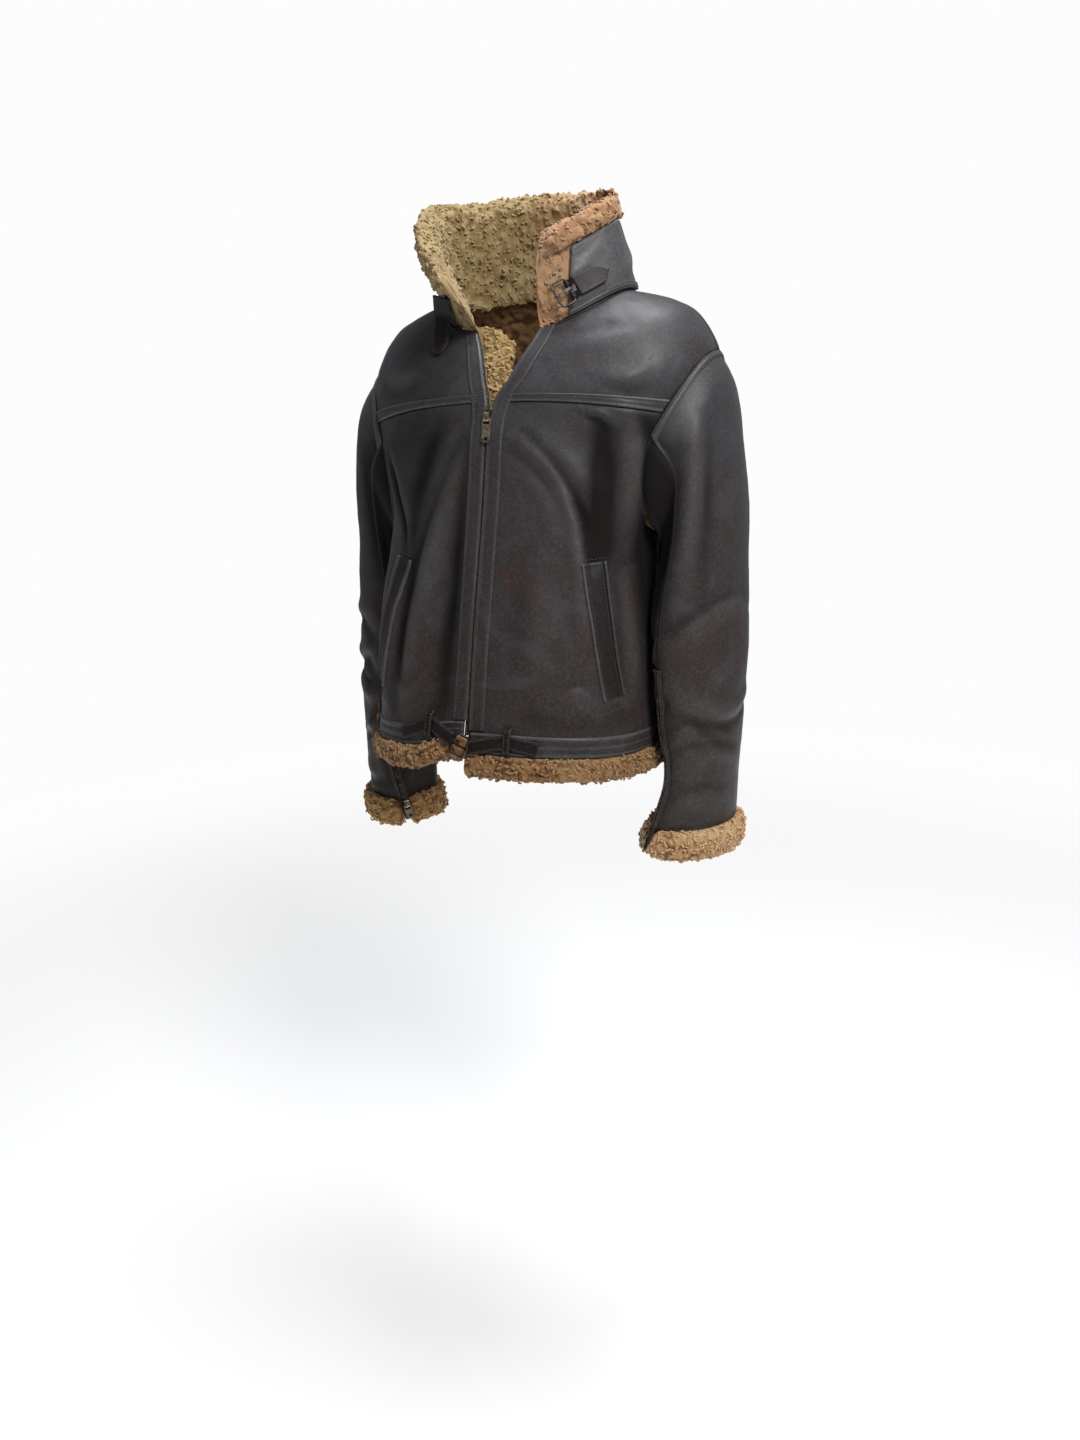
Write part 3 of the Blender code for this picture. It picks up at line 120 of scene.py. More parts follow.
# ---------------------------------------------------------------- the collar's sections
COLLAR_COLUMNS = ("along", "height", "lean_foot", "lean_top", "wool")
COLLAR = (
    # along runs from -1 at the right end, round the back, to +1 at the left; leans are outwards, in
    # degrees; wool is the share of the wool's full thickness
    (-1.00, 0.066, 40, 64, 1.00),
    (-0.80, 0.080, 18, 26, 1.00),
    (-0.55, 0.092, -2, -4, 0.85),
    (-0.25, 0.095, -2, -6, 0.90),
    (0.10, 0.092, -6, -10, 0.90),
    (0.45, 0.090, -10, -19, 0.62),
    (0.62, 0.089, -10, -20, 0.72),
    (0.80, 0.088, -8, -18, 0.95),
    (1.00, 0.080, -2, -8, 1.00),
)

# Points round the collar's wool, in a plane across it: up from the neck seam, then outwards from the
# leather's inner face. A point's height is a share of the leather's height plus a length.
WOOL = (
    (0.00, 0.003, -0.0020),
    (0.11, 0.000, -0.0020),
    (0.35, 0.000, -0.0020),
    (0.60, 0.000, -0.0020),
    (0.80, 0.000, -0.0020),
    (1.00, 0.0018, -0.0020),
    (1.00, 0.0018, 0.0042),
    (1.00, 0.005, 0.0120),
    (1.00, 0.015, 0.0160),
    (1.00, 0.028, 0.0120),
    (1.00, 0.036, 0.0010),
    (1.00, 0.034, -0.0130),
    (1.00, 0.022, -0.0240),
    (1.00, 0.002, -0.0260),
    (0.60, 0.000, -0.0220),
    (0.25, 0.000, -0.0180),
    (0.00, 0.003, -0.0120),
)
WOOL_NOTCH = 6  # this many points lie along the leather's inner face

# ---------------------------------------------------------------- the largest folds
FOLDS = (
    # from (turn in degrees, height on the cape) to another; then width and rise in metres
    (8, 0.50, 40, 0.40, 0.024, 0.006),
    (40, 0.40, 46, 0.16, 0.022, 0.006),
    (-10, 0.34, -7, 0.06, 0.020, -0.007),
    (-46, 0.44, -32, 0.24, 0.024, -0.006),
    (-58, 0.34, -44, 0.08, 0.022, 0.006),
    (140, 0.42, 150, 0.08, 0.032, 0.006),
    (-132, 0.44, -148, 0.12, 0.032, 0.006),
)


# ---------------------------------------------------------------- curves and surfaces
def cubic(start, leaving, end, arriving, s):
    """A smooth curve from start (s = 0) to end (s = 1), with its ways of leaving and arriving."""
    return (
        start * (2 * s**3 - 3 * s**2 + 1)
        + leaving * (s**3 - 2 * s**2 + s)
        + end * (3 * s**2 - 2 * s**3)
        + arriving * (s**3 - s**2)
    )


def smooth_table(table, names, at):
    """Named columns of a table at stations between its rows, on smooth curves through the rows."""
    table = np.asarray(table, float)
    stations, values = table[:, 0], table[:, 1:]
    slopes = np.gradient(values, stations, axis=0)
    at = np.clip(np.asarray(at, float), stations[0], stations[-1])
    i = np.clip(np.searchsorted(stations, at, side="right") - 1, 0, len(stations) - 2)
    span = (stations[i + 1] - stations[i])[..., None]
    s = (at[..., None] - stations[i][..., None]) / span
    found = cubic(values[i], slopes[i] * span, values[i + 1], slopes[i + 1] * span, s)
    return {name: found[..., k] for k, name in enumerate(names[1:])}


def read_off(values, stations, at):
    """Points known at stations, read off at other places on straight lines between them."""
    return np.stack([np.interp(at, stations, values[:, k]) for k in range(3)], axis=-1)


def walked(points):
    """Lengths walked along a line of points."""
    return np.concatenate([[0], np.cumsum(np.linalg.norm(np.diff(points, axis=0), axis=1))])


def signed_power(value, power):
    """A power that keeps the value's sign."""
    return np.sign(value) * np.abs(value) ** power


def bare_cape(height, turn):
    """The body's surface with no folds."""
    height, turn = np.broadcast_arrays(np.asarray(height, float), np.asarray(turn, float))
    r = smooth_table(RINGS, RING_COLUMNS, height)
    across, ahead = np.sin(turn), np.cos(turn)
    power = 2 / r["square"]
    reach = np.where(ahead > 0, r["y_mid"] - r["y_front"], r["y_back"] - r["y_mid"])
    end = np.where(ahead > 0, r["z_front"], r["z_back"])
    x = r["x_mid"] + r["half_width"] * signed_power(across, power)
    y = r["y_mid"] - reach * signed_power(ahead, power)
    z = r["z_side"] + (end - r["z_side"]) * ahead**2
    corner = np.where(across < 0, np.exp(-((turn / CORNER_TURN) ** 2)), 0)
    z = z + CORNER_LIFT * corner * np.clip(1 - height / CORNER_HEIGHT, 0, 1) ** 2
    return np.stack([x, y, z], axis=-1)


def unit(vectors):
    """The vectors, each made one metre long."""
    return vectors / np.linalg.norm(vectors, axis=-1, keepdims=True)


def cape_normal(height, turn):
    """The outward unit normal of the bare cape."""
    step = 2e-3
    height, turn = np.broadcast_arrays(np.asarray(height, float), np.asarray(turn, float))
    height = np.clip(height, step, 1 - step)
    up = bare_cape(height + step, turn) - bare_cape(height - step, turn)
    round_about = bare_cape(height, turn + step) - bare_cape(height, turn - step)
    return unit(np.cross(round_about, up))


def fold_lift(points):
    """How far the largest folds raise the leather at these points."""
    lift = np.zeros(points.shape[:-1])
    for turn_a, height_a, turn_b, height_b, width, rise in FOLDS:
        a = bare_cape(height_a, math.radians(turn_a))
        b = bare_cape(height_b, math.radians(turn_b))
        share = np.clip(((points - a) @ (b - a)) / ((b - a) @ (b - a)), 0, 1)
        away = np.linalg.norm(points - (a + share[..., None] * (b - a)), axis=-1)
        lift += rise * np.exp(-((away / width) ** 2)) * np.sin(math.pi * (0.15 + 0.7 * share))
    return lift


def cape(height, turn):
    """The body's surface with its largest folds, at a height from hem to neck and a turn from the front."""
    points = bare_cape(height, turn)
    return points + fold_lift(points)[..., None] * cape_normal(height, turn)


# ---------------------------------------------------------------- edges of the panels, as turns
def opening(height):
    """Half the gap between the two fronts, which part above the slider."""
    share = np.clip((height - V_FOOT) / (1 - V_FOOT), 0, 1)
    return ZIP_HALF + (NECK_GAP - ZIP_HALF) * share


def turn_at_x(height, x):
    """The turn at which the cape reaches sideways to x."""
    r = smooth_table(RINGS, RING_COLUMNS, height)
    return np.arcsin(np.clip(x / r["half_width"], 0, 1) ** (r["square"] / 2))


def front_edge(height):
    """The turn of the left front's edge."""
    return float(turn_at_x(height, opening(height)))


def armhole_share(height):
    """How wide the armhole is at a height, as a share of its widest."""
    level = np.clip((height - ARMPIT) / (SHOULDER_TIP - ARMPIT), 0, 1)
    return math.sqrt(max(0.0, 4 * level * (1 - level)))


def side_front(height):
    """The turn of the left side seam, and of the armhole's front edge."""
    return math.pi / 2 - ARMHOLE_FRONT * armhole_share(height)


def side_back(height):
    """The turn of the back panel's edge, and of the armhole's back edge."""
    return math.pi / 2 + ARMHOLE_BACK * armhole_share(height)


def armhole(around):
    """(height, turn) round the left armhole: around is 0 at its top, 90 degrees at its front."""
    height = ARMPIT + (SHOULDER_TIP - ARMPIT) * (1 + np.cos(around)) / 2
    width = np.where(np.sin(around) > 0, ARMHOLE_FRONT, ARMHOLE_BACK)
    return height, math.pi / 2 - width * np.sin(around)


# ---------------------------------------------------------------- the sleeves
FAR_BESIDE = 0.6
# Below the hem's fleece the sleeves swing in again.
BESIDE_FLOOR, BESIDE_FALL_START, BESIDE_FALL = -0.605, -0.632, 0.3


def sleeve_ring(along, around, side):
    """Points of a sleeve at a share of its length, below the armhole."""
    r = smooth_table(SLEEVES, SLEEVE_COLUMNS, along)
    turn_in = np.radians(r["turn_in"])
    outward, ahead = np.cos(around), np.sin(around)
    broad, thin = r["half_broad"] * ahead, r["half_thin"] * outward
    hand = "left" if side == LEFT else "right"
    x = r["x_" + hand] + side * (thin * np.cos(turn_in) - broad * np.sin(turn_in))
    y = r["y_" + hand] - broad * np.cos(turn_in) - thin * np.sin(turn_in)
    return np.stack([x, y, r["z_" + hand] + r["rise"] * outward], axis=-1)


def beside_body(points, side, gap):
    """The points moved sideways until they clear the body, its hem band and its hem's fleece."""
    moved = points.reshape(-1, 3).copy()
    for point, space in zip(moved, np.broadcast_to(gap, points.shape[:-1]).ravel()):
        start = Vector((side * FAR_BESIDE, point[1], max(point[2], BESIDE_FLOOR)))
        space -= BESIDE_FALL * max(0.0, BESIDE_FALL_START - point[2])
        hit = beside_tree.ray_cast(start, Vector((-side, 0, 0)), FAR_BESIDE)[0]
        if hit is not None and side * (hit.x - point[0]) > -space:
            point[0] = hit.x + side * space
    return moved.reshape(points.shape)


def bare_sleeve(along, around, side):
    """A sleeve's surface with nothing pressing on it."""
    first, step = SLEEVES[0][0], 0.01
    height, turn = armhole(around)
    head, out = cape(height, side * turn), cape_normal(height, side * turn)
    start = sleeve_ring(np.full_like(along, first), around, side)
    leave = (sleeve_ring(np.full_like(along, first + step), around, side) - start) * first / step
    rise = (start - head) * 0.8 + out * SLEEVE_SPRING * (1 - np.cos(around))[..., None]
    s = np.clip(along / first, 0, 1)[..., None]
    below = sleeve_ring(np.maximum(along, first), around, side)
    return np.where((along < first)[..., None], cubic(head, rise, start, leave, s), below)


def sleeve_surface(along, around, side):
    """A sleeve's surface from the armhole (0) to the cuff (1); around is 0 outside and 90 degrees in front.

    Its inner side keeps clear of the body, and its outer side keeps a share of the sleeve's thickness
    from the inner side.
    """
    along, around = np.broadcast_arrays(np.asarray(along, float), np.asarray(around, float))
    own, opposite = bare_sleeve(along, around, side), bare_sleeve(along, math.pi - around, side)
    within = (np.cos(around) < 0)[..., None]
    inner, outer = np.where(within, own, opposite), np.where(within, opposite, own)
    by_vent = np.exp(-(((around - VENT) / VENT_SPREAD) ** 2)) * np.clip((along - VENT_CLEAR_TOP) / 0.1, 0, 1)
    gap = SLEEVE_CLEAR * np.clip(along / SLEEVES[0][0], 0, 1) + VENT_CLEAR * by_vent
    pressed = side * beside_body(inner, side, gap)[..., 0]
    thick = SLEEVE_KEEP * side * (outer - inner)[..., 0]
    own[..., 0] = side * np.where(within[..., 0], pressed, np.maximum(side * outer[..., 0], pressed + thick))
    return own


# ---------------------------------------------------------------- the front edges and the wind flap
TEETH_BACK, TEETH_FRONT = 0.0034, 0.0010  # how far the teeth lie behind the leather's face


def front_frame(height, side):
    """A front's edge, with the ways across the opening and outwards."""
    turn = side * front_edge(height)
    out = cape_normal(height, turn)
    across = np.array([-side, 0.0, 0.0]) - (-side * out[..., 0])[..., None] * out
    return cape(height, turn), unit(across), out


FLAP_COLUMNS = ("station", "height", "up", "reach", "drop")
FLAP = (
    # reach is how far it shows past the front's edge, drop how far it lies behind the leather's face
    (0.00, 0.510, 0.000, 0.004, 0.0135),
    (0.12, 0.560, 0.000, 0.008, 0.0145),
    (0.30, 0.640, 0.000, 0.018, 0.0145),
    (0.50, 0.740, 0.000, 0.027, 0.0145),
    (0.70, 0.850, 0.000, 0.036, 0.0145),
    (0.85, 0.930, 0.004, 0.041, 0.0165),
    (0.95, 0.965, 0.010, 0.036, 0.0180),
    (1.00, 0.980, 0.014, 0.020, 0.0185),
)
FLAP_TUCK, FLAP_THICK = 0.012, 0.013

# ---------------------------------------------------------------- the collar
neck_start = front_edge(1.0)
neck_fine = np.linspace(-neck_start, neck_start - 2 * math.pi, 721)  # from the right, round the back
neck_line = cape(np.full_like(neck_fine, 1.0), neck_fine)
neck_length = walked(neck_line)


def collar_point(along, share, up, out):
    """A point of the collar: a share of its height plus a length up it, and a length outwards from it."""
    shape = smooth_table(COLLAR, COLLAR_COLUMNS, along)
    s = (np.asarray(along, float) + 1) / 2 * neck_length[-1]
    turn = np.interp(s, neck_length, neck_fine)
    foot = cape(np.full_like(turn, 1.0), turn)
    away = unit(cape_normal(np.full_like(turn, 1.0), turn) * np.array([1.0, 1.0, 0.0]))
    rise = np.array([0.0, 0.0, 1.0])
    share = np.broadcast_to(share, s.shape)
    lean_foot, lean_top = np.radians(shape["lean_foot"]), np.radians(shape["lean_top"])
    lean = lean_foot + (lean_top - lean_foot) * np.clip(share, 0, 1)
    middle = (lean_foot + lean) / 2
    chord = (shape["height"] * share)[..., None]
    point = foot + chord * (np.sin(middle)[..., None] * away + np.cos(middle)[..., None] * rise)
    upward = np.sin(lean)[..., None] * away + np.cos(lean)[..., None] * rise
    outward = np.cos(lean)[..., None] * away - np.sin(lean)[..., None] * rise
    return point + np.asarray(up)[..., None] * upward + np.asarray(out)[..., None] * outward


def collar_outward(along, share):
    """The way out of the collar's leather."""
    return unit(collar_point(along, share, 0.0, 0.001) - collar_point(along, share, 0.0, 0.0))


LEATHER_END = 1 - 2 * COLLAR_END_ROLL / neck_length[-1]
FOOT_GAP = 0.0010


# ---------------------------------------------------------------- grids of points
def carried(values, stations, at, axis=0):
    """Values known at stations, carried smoothly to other places along one axis."""
    values = np.moveaxis(np.asarray(values, float), axis, 0)
    slopes = np.gradient(values, stations, axis=0)
    at = np.clip(at, stations[0], stations[-1])
    i = np.clip(np.searchsorted(stations, at, side="right") - 1, 0, len(stations) - 2)
    shape = (-1,) + (1,) * (values.ndim - 1)
    span = (stations[i + 1] - stations[i]).reshape(shape)
    s = (at - stations[i]).reshape(shape) / span
    found = cubic(values[i], slopes[i] * span, values[i + 1], slopes[i + 1] * span, s)
    return np.moveaxis(found, 0, axis)


def ripple(points, size, seed):
    """Soft unevenness from -1 to 1 over lengths of about the given size."""
    shift = Vector((seed, -2.3 * seed, 1.7 * seed))
    found = [noise.noise(Vector(point) / size + shift) for point in points.reshape(-1, 3).tolist()]
    return np.array(found).reshape(points.shape[:-1])


CURL_TWIST, SMALL_CURLS = 0.35, 0.30  # how far the curls wander, and the share of the small ones
TWIST_APART = (Vector((9.3, -1.5, -8.0)), Vector((0.0, 0.0, 0.0)), Vector((6.3, 0.2, -2.7)))


def curls(points, size, seed):
    """The rounded curls of wool: 0 in the hollows between them and 1 on their tops."""
    shift = Vector((seed, 1.3 * seed, -0.7 * seed))
    found = []
    for point in points.reshape(-1, 3).tolist():
        place = Vector(point) / size + shift
        place += CURL_TWIST * Vector([noise.noise(place * 1.4 + apart) for apart in TWIST_APART])
        near = noise.voronoi(place)[0]
        small = noise.voronoi(place * 2.2)[0]
        found.append(1 - min(1.0, near[0] / 0.8) ** 2 - SMALL_CURLS * min(1.0, small[0] / 0.7) ** 2)
    return np.clip(np.array(found).reshape(points.shape[:-1]), 0, 1)


CREASE_END, CREASE_SWELL = 0.06, 0.3  # a crease's first and last share of a wave, and its uneven rise
CREASE_TAPER, CREASE_TAPERED = 0.75, 0.5  # its width at its start, and how much wider it ends
FULL_MARK_RISE = 0.004  # a crease that rises this high gets a fully rubbed ridge and full painted shade in its trough; one that sinks as low gets full painted shade


def crease_lift(points, outward, creases):
    """Lift of the leather at the points, and its wear and painted shade there, from listed creases.

    A crease is (line of points, width, rise, trough): a ridge of the given rise with a trough beside
    it, that many widths to the line's right. Both fade towards the line's ends.
    """
    lift, wear_and_painted_shade = np.zeros(points.shape[:-1]), np.zeros(points.shape[:-1])
    for number, (line, width, rise, trough) in enumerate(creases):
        low, high = line.min(axis=0) - 4 * width, line.max(axis=0) + 4 * width
        near = ((points > low) & (points < high)).all(axis=-1)
        if not near.any():
            continue
        here, out = points[near], outward[near]
        share_at = walked(line) / walked(line)[-1]
        best, aside, share = np.full(len(here), np.inf), np.zeros(len(here)), np.zeros(len(here))
        for k, (a, b) in enumerate(zip(line[:-1], line[1:])):
            along = np.clip(((here - a) @ (b - a)) / ((b - a) @ (b - a)), 0, 1)
            away = here - (a + along[:, None] * (b - a))
            far = np.linalg.norm(away, axis=1)
            closer = far < best
            hand = np.sign(np.einsum("ij,ij->i", np.cross(b - a, out), away))
            best = np.where(closer, far, best)
            aside = np.where(closer, hand * far, aside)
            share = np.where(closer, share_at[k] + along * (share_at[k + 1] - share_at[k]), share)
        wander = [noise.noise(Vector((5 * s, number, 0.5))) for s in share.tolist()]
        fade = np.sin(math.pi * (CREASE_END + (1 - 2 * CREASE_END) * share)) ** 0.8
        fade = fade * (1 + CREASE_SWELL * np.array(wander))
        t = aside / (width * (CREASE_TAPER + CREASE_TAPERED * share))
        ridge = np.exp(-(t**2))
        dip = np.exp(-(((t - trough) / 0.75) ** 2)) * TROUGH_DEPTH if trough else 0.0
        lift[near] += rise * fade * (ridge - dip)
        # ridges are marked as rubbed paler; troughs, and the whole of a crease that sinks, are marked with
        # painted shade
        wear_and_painted_shade[near] += np.sign(rise) * min(1.0, abs(rise) / FULL_MARK_RISE) * fade * (ridge - dip)
    return lift, wear_and_painted_shade


# ---------------------------------------------------------------- making pieces
def piece_of(name, mesh, finishes):
    """A mesh as a named piece of the jacket."""
    for finish in finishes:
        mesh.materials.append(finish)
    mesh.shade_smooth()
    made = bpy.data.objects.new(name, mesh)
    bpy.context.scene.collection.objects.link(made)
    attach(made, "jacket")
    return made


def mesh_of(name, bm, turned=True):
    """What bmesh holds as a mesh, with its normals turned outwards."""
    if turned:
        bmesh.ops.recalc_face_normals(bm, faces=bm.faces[:])
    mesh = bpy.data.meshes.new(name)
    bm.to_mesh(mesh)
    bm.free()
    return mesh


def closed_sheet(name, outer, inner, finishes, marks=()):
    """A closed sheet between two grids of points; the second finish, if any, is its inner face's.

    Marks are (name, values on the outer grid, values on the inner grid), kept for the materials.
    """
    rows, columns = outer.shape[:2]
    bm = bmesh.new()
    layers = [bm.verts.layers.float.new(mark) for mark, *_ in marks]
    place = bm.verts.layers.int.new("place")
    bmesh.ops.create_grid(bm, x_segments=columns - 1, y_segments=rows - 1, size=1)
    for i, vert in enumerate(bm.verts):
        vert[place] = i
    made = bmesh.ops.extrude_face_region(bm, geom=bm.faces[:], use_keep_orig=True)
    lifted = {v for v in made["geom"] if isinstance(v, bmesh.types.BMVert)}
    sides = {True: outer.reshape(-1, 3).tolist(), False: inner.reshape(-1, 3).tolist()}
    values = [{True: out.ravel().tolist(), False: into.ravel().tolist()} for _, out, into in marks]
    for vert in bm.verts:
        side = vert in lifted
        vert.co = sides[side][vert[place]]
        for layer, value in zip(layers, values):
            vert[layer] = value[side][vert[place]]
    if len(finishes) > 1:
        for face in bm.faces:
            face.material_index = int(not any(v in lifted for v in face.verts))
    return piece_of(name, mesh_of(name, bm), finishes)


def round_piece(name, rings, finishes, marks):
    """A closed solid through rings of points, with its ends drawn together."""
    rows, columns = rings.shape[:2]
    bm = bmesh.new()
    layers = [bm.verts.layers.float.new(mark) for mark, _ in marks]
    bmesh.ops.create_grid(bm, x_segments=columns, y_segments=rows + 1, size=1)
    ends = [np.repeat(ring.mean(axis=0)[None], columns, axis=0) for ring in (rings[0], rings[-1])]
    whole = np.concatenate([ends[0][None], rings, ends[1][None]])
    whole = np.concatenate([whole, whole[:, :1]], axis=1)
    for vert, point in zip(bm.verts, whole.reshape(-1, 3).tolist()):
        vert.co = point
    for layer, (_, values) in zip(layers, marks):
        values = np.concatenate([values[:1], values, values[-1:]])
        values = np.concatenate([values, values[:, :1]], axis=1)
        for vert, value in zip(bm.verts, values.ravel().tolist()):
            vert[layer] = value
    bmesh.ops.remove_doubles(bm, verts=bm.verts[:], dist=1e-6)
    return piece_of(name, mesh_of(name, bm), finishes)


def many_of(name, unit_mesh, places, frames, finishes, marks=()):
    """One mesh with a copy of a small unit at every place, each turned and sized by its own frame.

    A frame's columns are the unit's x, y and z, with their lengths as sizes.
    """
    verts = np.array([v.co[:] for v in unit_mesh.vertices])
    faces = [tuple(p.vertices) for p in unit_mesh.polygons]
    points = np.einsum("nij,vj->nvi", frames, verts) + places[:, None]
    shifts = np.arange(len(places)) * len(verts)
    mesh = bpy.data.meshes.new(name)
    mesh.from_pydata(
        points.reshape(-1, 3).tolist(), [], [tuple(i + s for i in f) for s in shifts.tolist() for f in faces]
    )
    for mark in marks:
        values = np.array([d.value for d in unit_mesh.attributes[mark].data])
        layer = mesh.attributes.new(mark, "FLOAT", "POINT")
        layer.data.foreach_set("value", np.tile(values, len(places)))
    return piece_of(name, mesh, finishes)


def surface_of(*objects):
    """What a ray finds of these objects."""
    bm = bmesh.new()
    for made in objects:
        bm.from_mesh(made.data)
    tree = BVHTree.FromBMesh(bm)
    bm.free()
    return tree


def laid(tree, points, normals, reach=0.03):
    """The points brought onto what lies under them along their normals."""
    found = []
    for point, normal in zip(points.reshape(-1, 3), normals.reshape(-1, 3)):
        hit = tree.ray_cast(Vector(point + reach * normal), Vector(-normal), 2 * reach)[0]
        found.append(point if hit is None else hit)
    return np.array(found).reshape(points.shape)


# ---------------------------------------------------------------- stitching
STITCH_LENGTH, STITCH_PITCH, STITCH_THICK = 0.0034, 0.0044, 0.0009
stitch_runs = {}


def stitch(group, line, outward, lift=0.0):
    """A row of stitches along a line of points, kept for the group's one piece of thread."""
    length = walked(line)
    count = int(length[-1] / STITCH_PITCH)
    at = (np.arange(count) + 0.5) * length[-1] / count
    places, out = read_off(line, length, at), unit(read_off(outward, length, at))
    way = unit(read_off(np.gradient(line, length, axis=0), length, at))
    across = unit(np.cross(out, way))
    frames = np.stack([way * STITCH_LENGTH, across * STITCH_THICK, out * STITCH_THICK], axis=2)
    stitch_runs.setdefault(group, []).append((places + lift * out, frames))


def sew(group, name, finish):
    """The stitches of a group as one piece."""
    bm = bmesh.new()
    bmesh.ops.create_uvsphere(bm, u_segments=6, v_segments=4, radius=0.5)
    bmesh.ops.rotate(bm, verts=bm.verts[:], matrix=Matrix.Rotation(math.pi / 2, 3, "Y"))
    unit_mesh = mesh_of("stitch", bm)
    places, frames = (np.concatenate([run[k] for run in stitch_runs[group]]) for k in (0, 1))
    return many_of(name, unit_mesh, places, frames, [finish])


# ---------------------------------------------------------------- tapes, bands and straps
GROOVE_DEPTH, GROOVE_HALF = 0.0004, 0.05  # the groove of a row of stitches; its half width is a share


def strip(name, node, base, outward, thick, finish, ribs, rows, group, sink=0.0):
    """A strip of leather on the grid base, whose columns run across it; it replaces its plain solid.

    Ribs are (share of the width, half width as a share, rise). Rows are the shares where stitches run,
    each in a shallow groove.
    """
    at = np.linspace(0, 1, base.shape[1])
    share = (1 - np.cos(math.pi * at)) / 2
    base = np.stack([read_off(row, at, share) for row in base])
    outward = unit(np.stack([read_off(row, at, share) for row in outward]))
    edge = 1 - np.abs(2 * share - 1) ** 10
    rise = thick * np.sqrt(np.clip(edge, 0.0, 1))
    for place, half, height in ribs:
        rise = rise + height * np.exp(-(((share - place) / half) ** 2))
    for place in rows:
        rise = rise - GROOVE_DEPTH * np.exp(-(((share - place) / GROOVE_HALF) ** 2))
    outer = base + (SEAM - sink + np.maximum(rise, 0.0004))[None, :, None] * outward
    inner = base + (SEAM * 0.5 - sink) * outward
    wear_and_painted_shade = np.broadcast_to(0.8 * np.abs(2 * share - 1) ** 6, outer.shape[:2])
    for place, half, height in ribs:
        wear_and_painted_shade = wear_and_painted_shade + np.exp(-(((share - place) / half) ** 2))
    marks = [("wear_and_painted_shade", np.clip(wear_and_painted_shade, 0, 1), np.zeros(outer.shape[:2]))]
    made = closed_sheet(name, outer, inner, [finish], marks)
    for place in rows:
        line, out = (np.stack([read_off(row, share, place) for row in grid]) for grid in (outer, outward))
        stitch(group, line, out, 0.0001)
    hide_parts(node)


STRAP_RING, STRAP_CAP = 16, 0.86  # points round a strap, and the size of its drawn-in ends


def strap(name, node, path, across, outward, halves, thick, finish, group, margin=0.0026):
    """A flat strap with rounded edges and a row of stitches along both of them."""
    corner = thick * 0.46
    turn = np.linspace(0, 2 * math.pi, STRAP_RING, endpoint=False)
    ring = np.stack([signed_power(np.cos(turn), 0.55), signed_power(np.sin(turn), 0.45)], axis=1)
    rings = (
        path[:, None]
        + ring[None, :, :1] * halves[:, None, None] * across[:, None]
        + (ring[None, :, 1:] * thick / 2 + thick / 2) * outward[:, None]
    )
    wear_and_painted_shade = np.broadcast_to(np.clip(np.abs(ring[:, 0]) ** 8, 0, 1), rings.shape[:2])
    before, after = (
        end.mean(axis=0) * (1 - STRAP_CAP) + end * STRAP_CAP + corner * ahead
        for end, ahead in ((rings[0], unit(path[0] - path[1])), (rings[-1], unit(path[-1] - path[-2])))
    )
    rings = np.concatenate([before[None], rings, after[None]])
    wear_and_painted_shade = np.concatenate([wear_and_painted_shade[:1], wear_and_painted_shade, wear_and_painted_shade[-1:]])
    made = round_piece(name, rings, [finish], [("wear_and_painted_shade", wear_and_painted_shade)])
    if group:
        for side in (-1, 1):
            line = path + side * (halves[:, None] - margin) * across + thick * outward
            stitch(group, line, outward)
    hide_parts(node)


def finer(points, count, *others):
    """A line of points, with what goes with it, carried smoothly to an even count of places."""
    length = walked(points)
    at = np.linspace(0, length[-1], count)
    return [carried(values, length, at) for values in (points, *others)]


# ---------------------------------------------------------------- finishes
class Value:
    """A value in a finish's nodes; arithmetic on it adds Math nodes."""

    def __init__(self, finish, socket):
        self.finish, self.socket = finish, socket

    def math(self, operation, *values):
        made = self.finish.node("ShaderNodeMath", {"operation": operation}, dict(enumerate(values)))
        return Value(self.finish, made.outputs[0])

    def __add__(self, other):
        return self.math("ADD", self, other)

    def __sub__(self, other):
        return self.math("SUBTRACT", self, other)

    def __rsub__(self, other):
        return self.math("SUBTRACT", other, self)

    def __mul__(self, other):
        return self.math("MULTIPLY", self, other)

    def __pow__(self, other):
        return self.math("POWER", self, other)

    def limited(self):
        """The value kept between 0 and 1."""
        return self.math("MINIMUM", self.math("MAXIMUM", self, 0.0), 1.0)

    __radd__, __rmul__ = __add__, __mul__


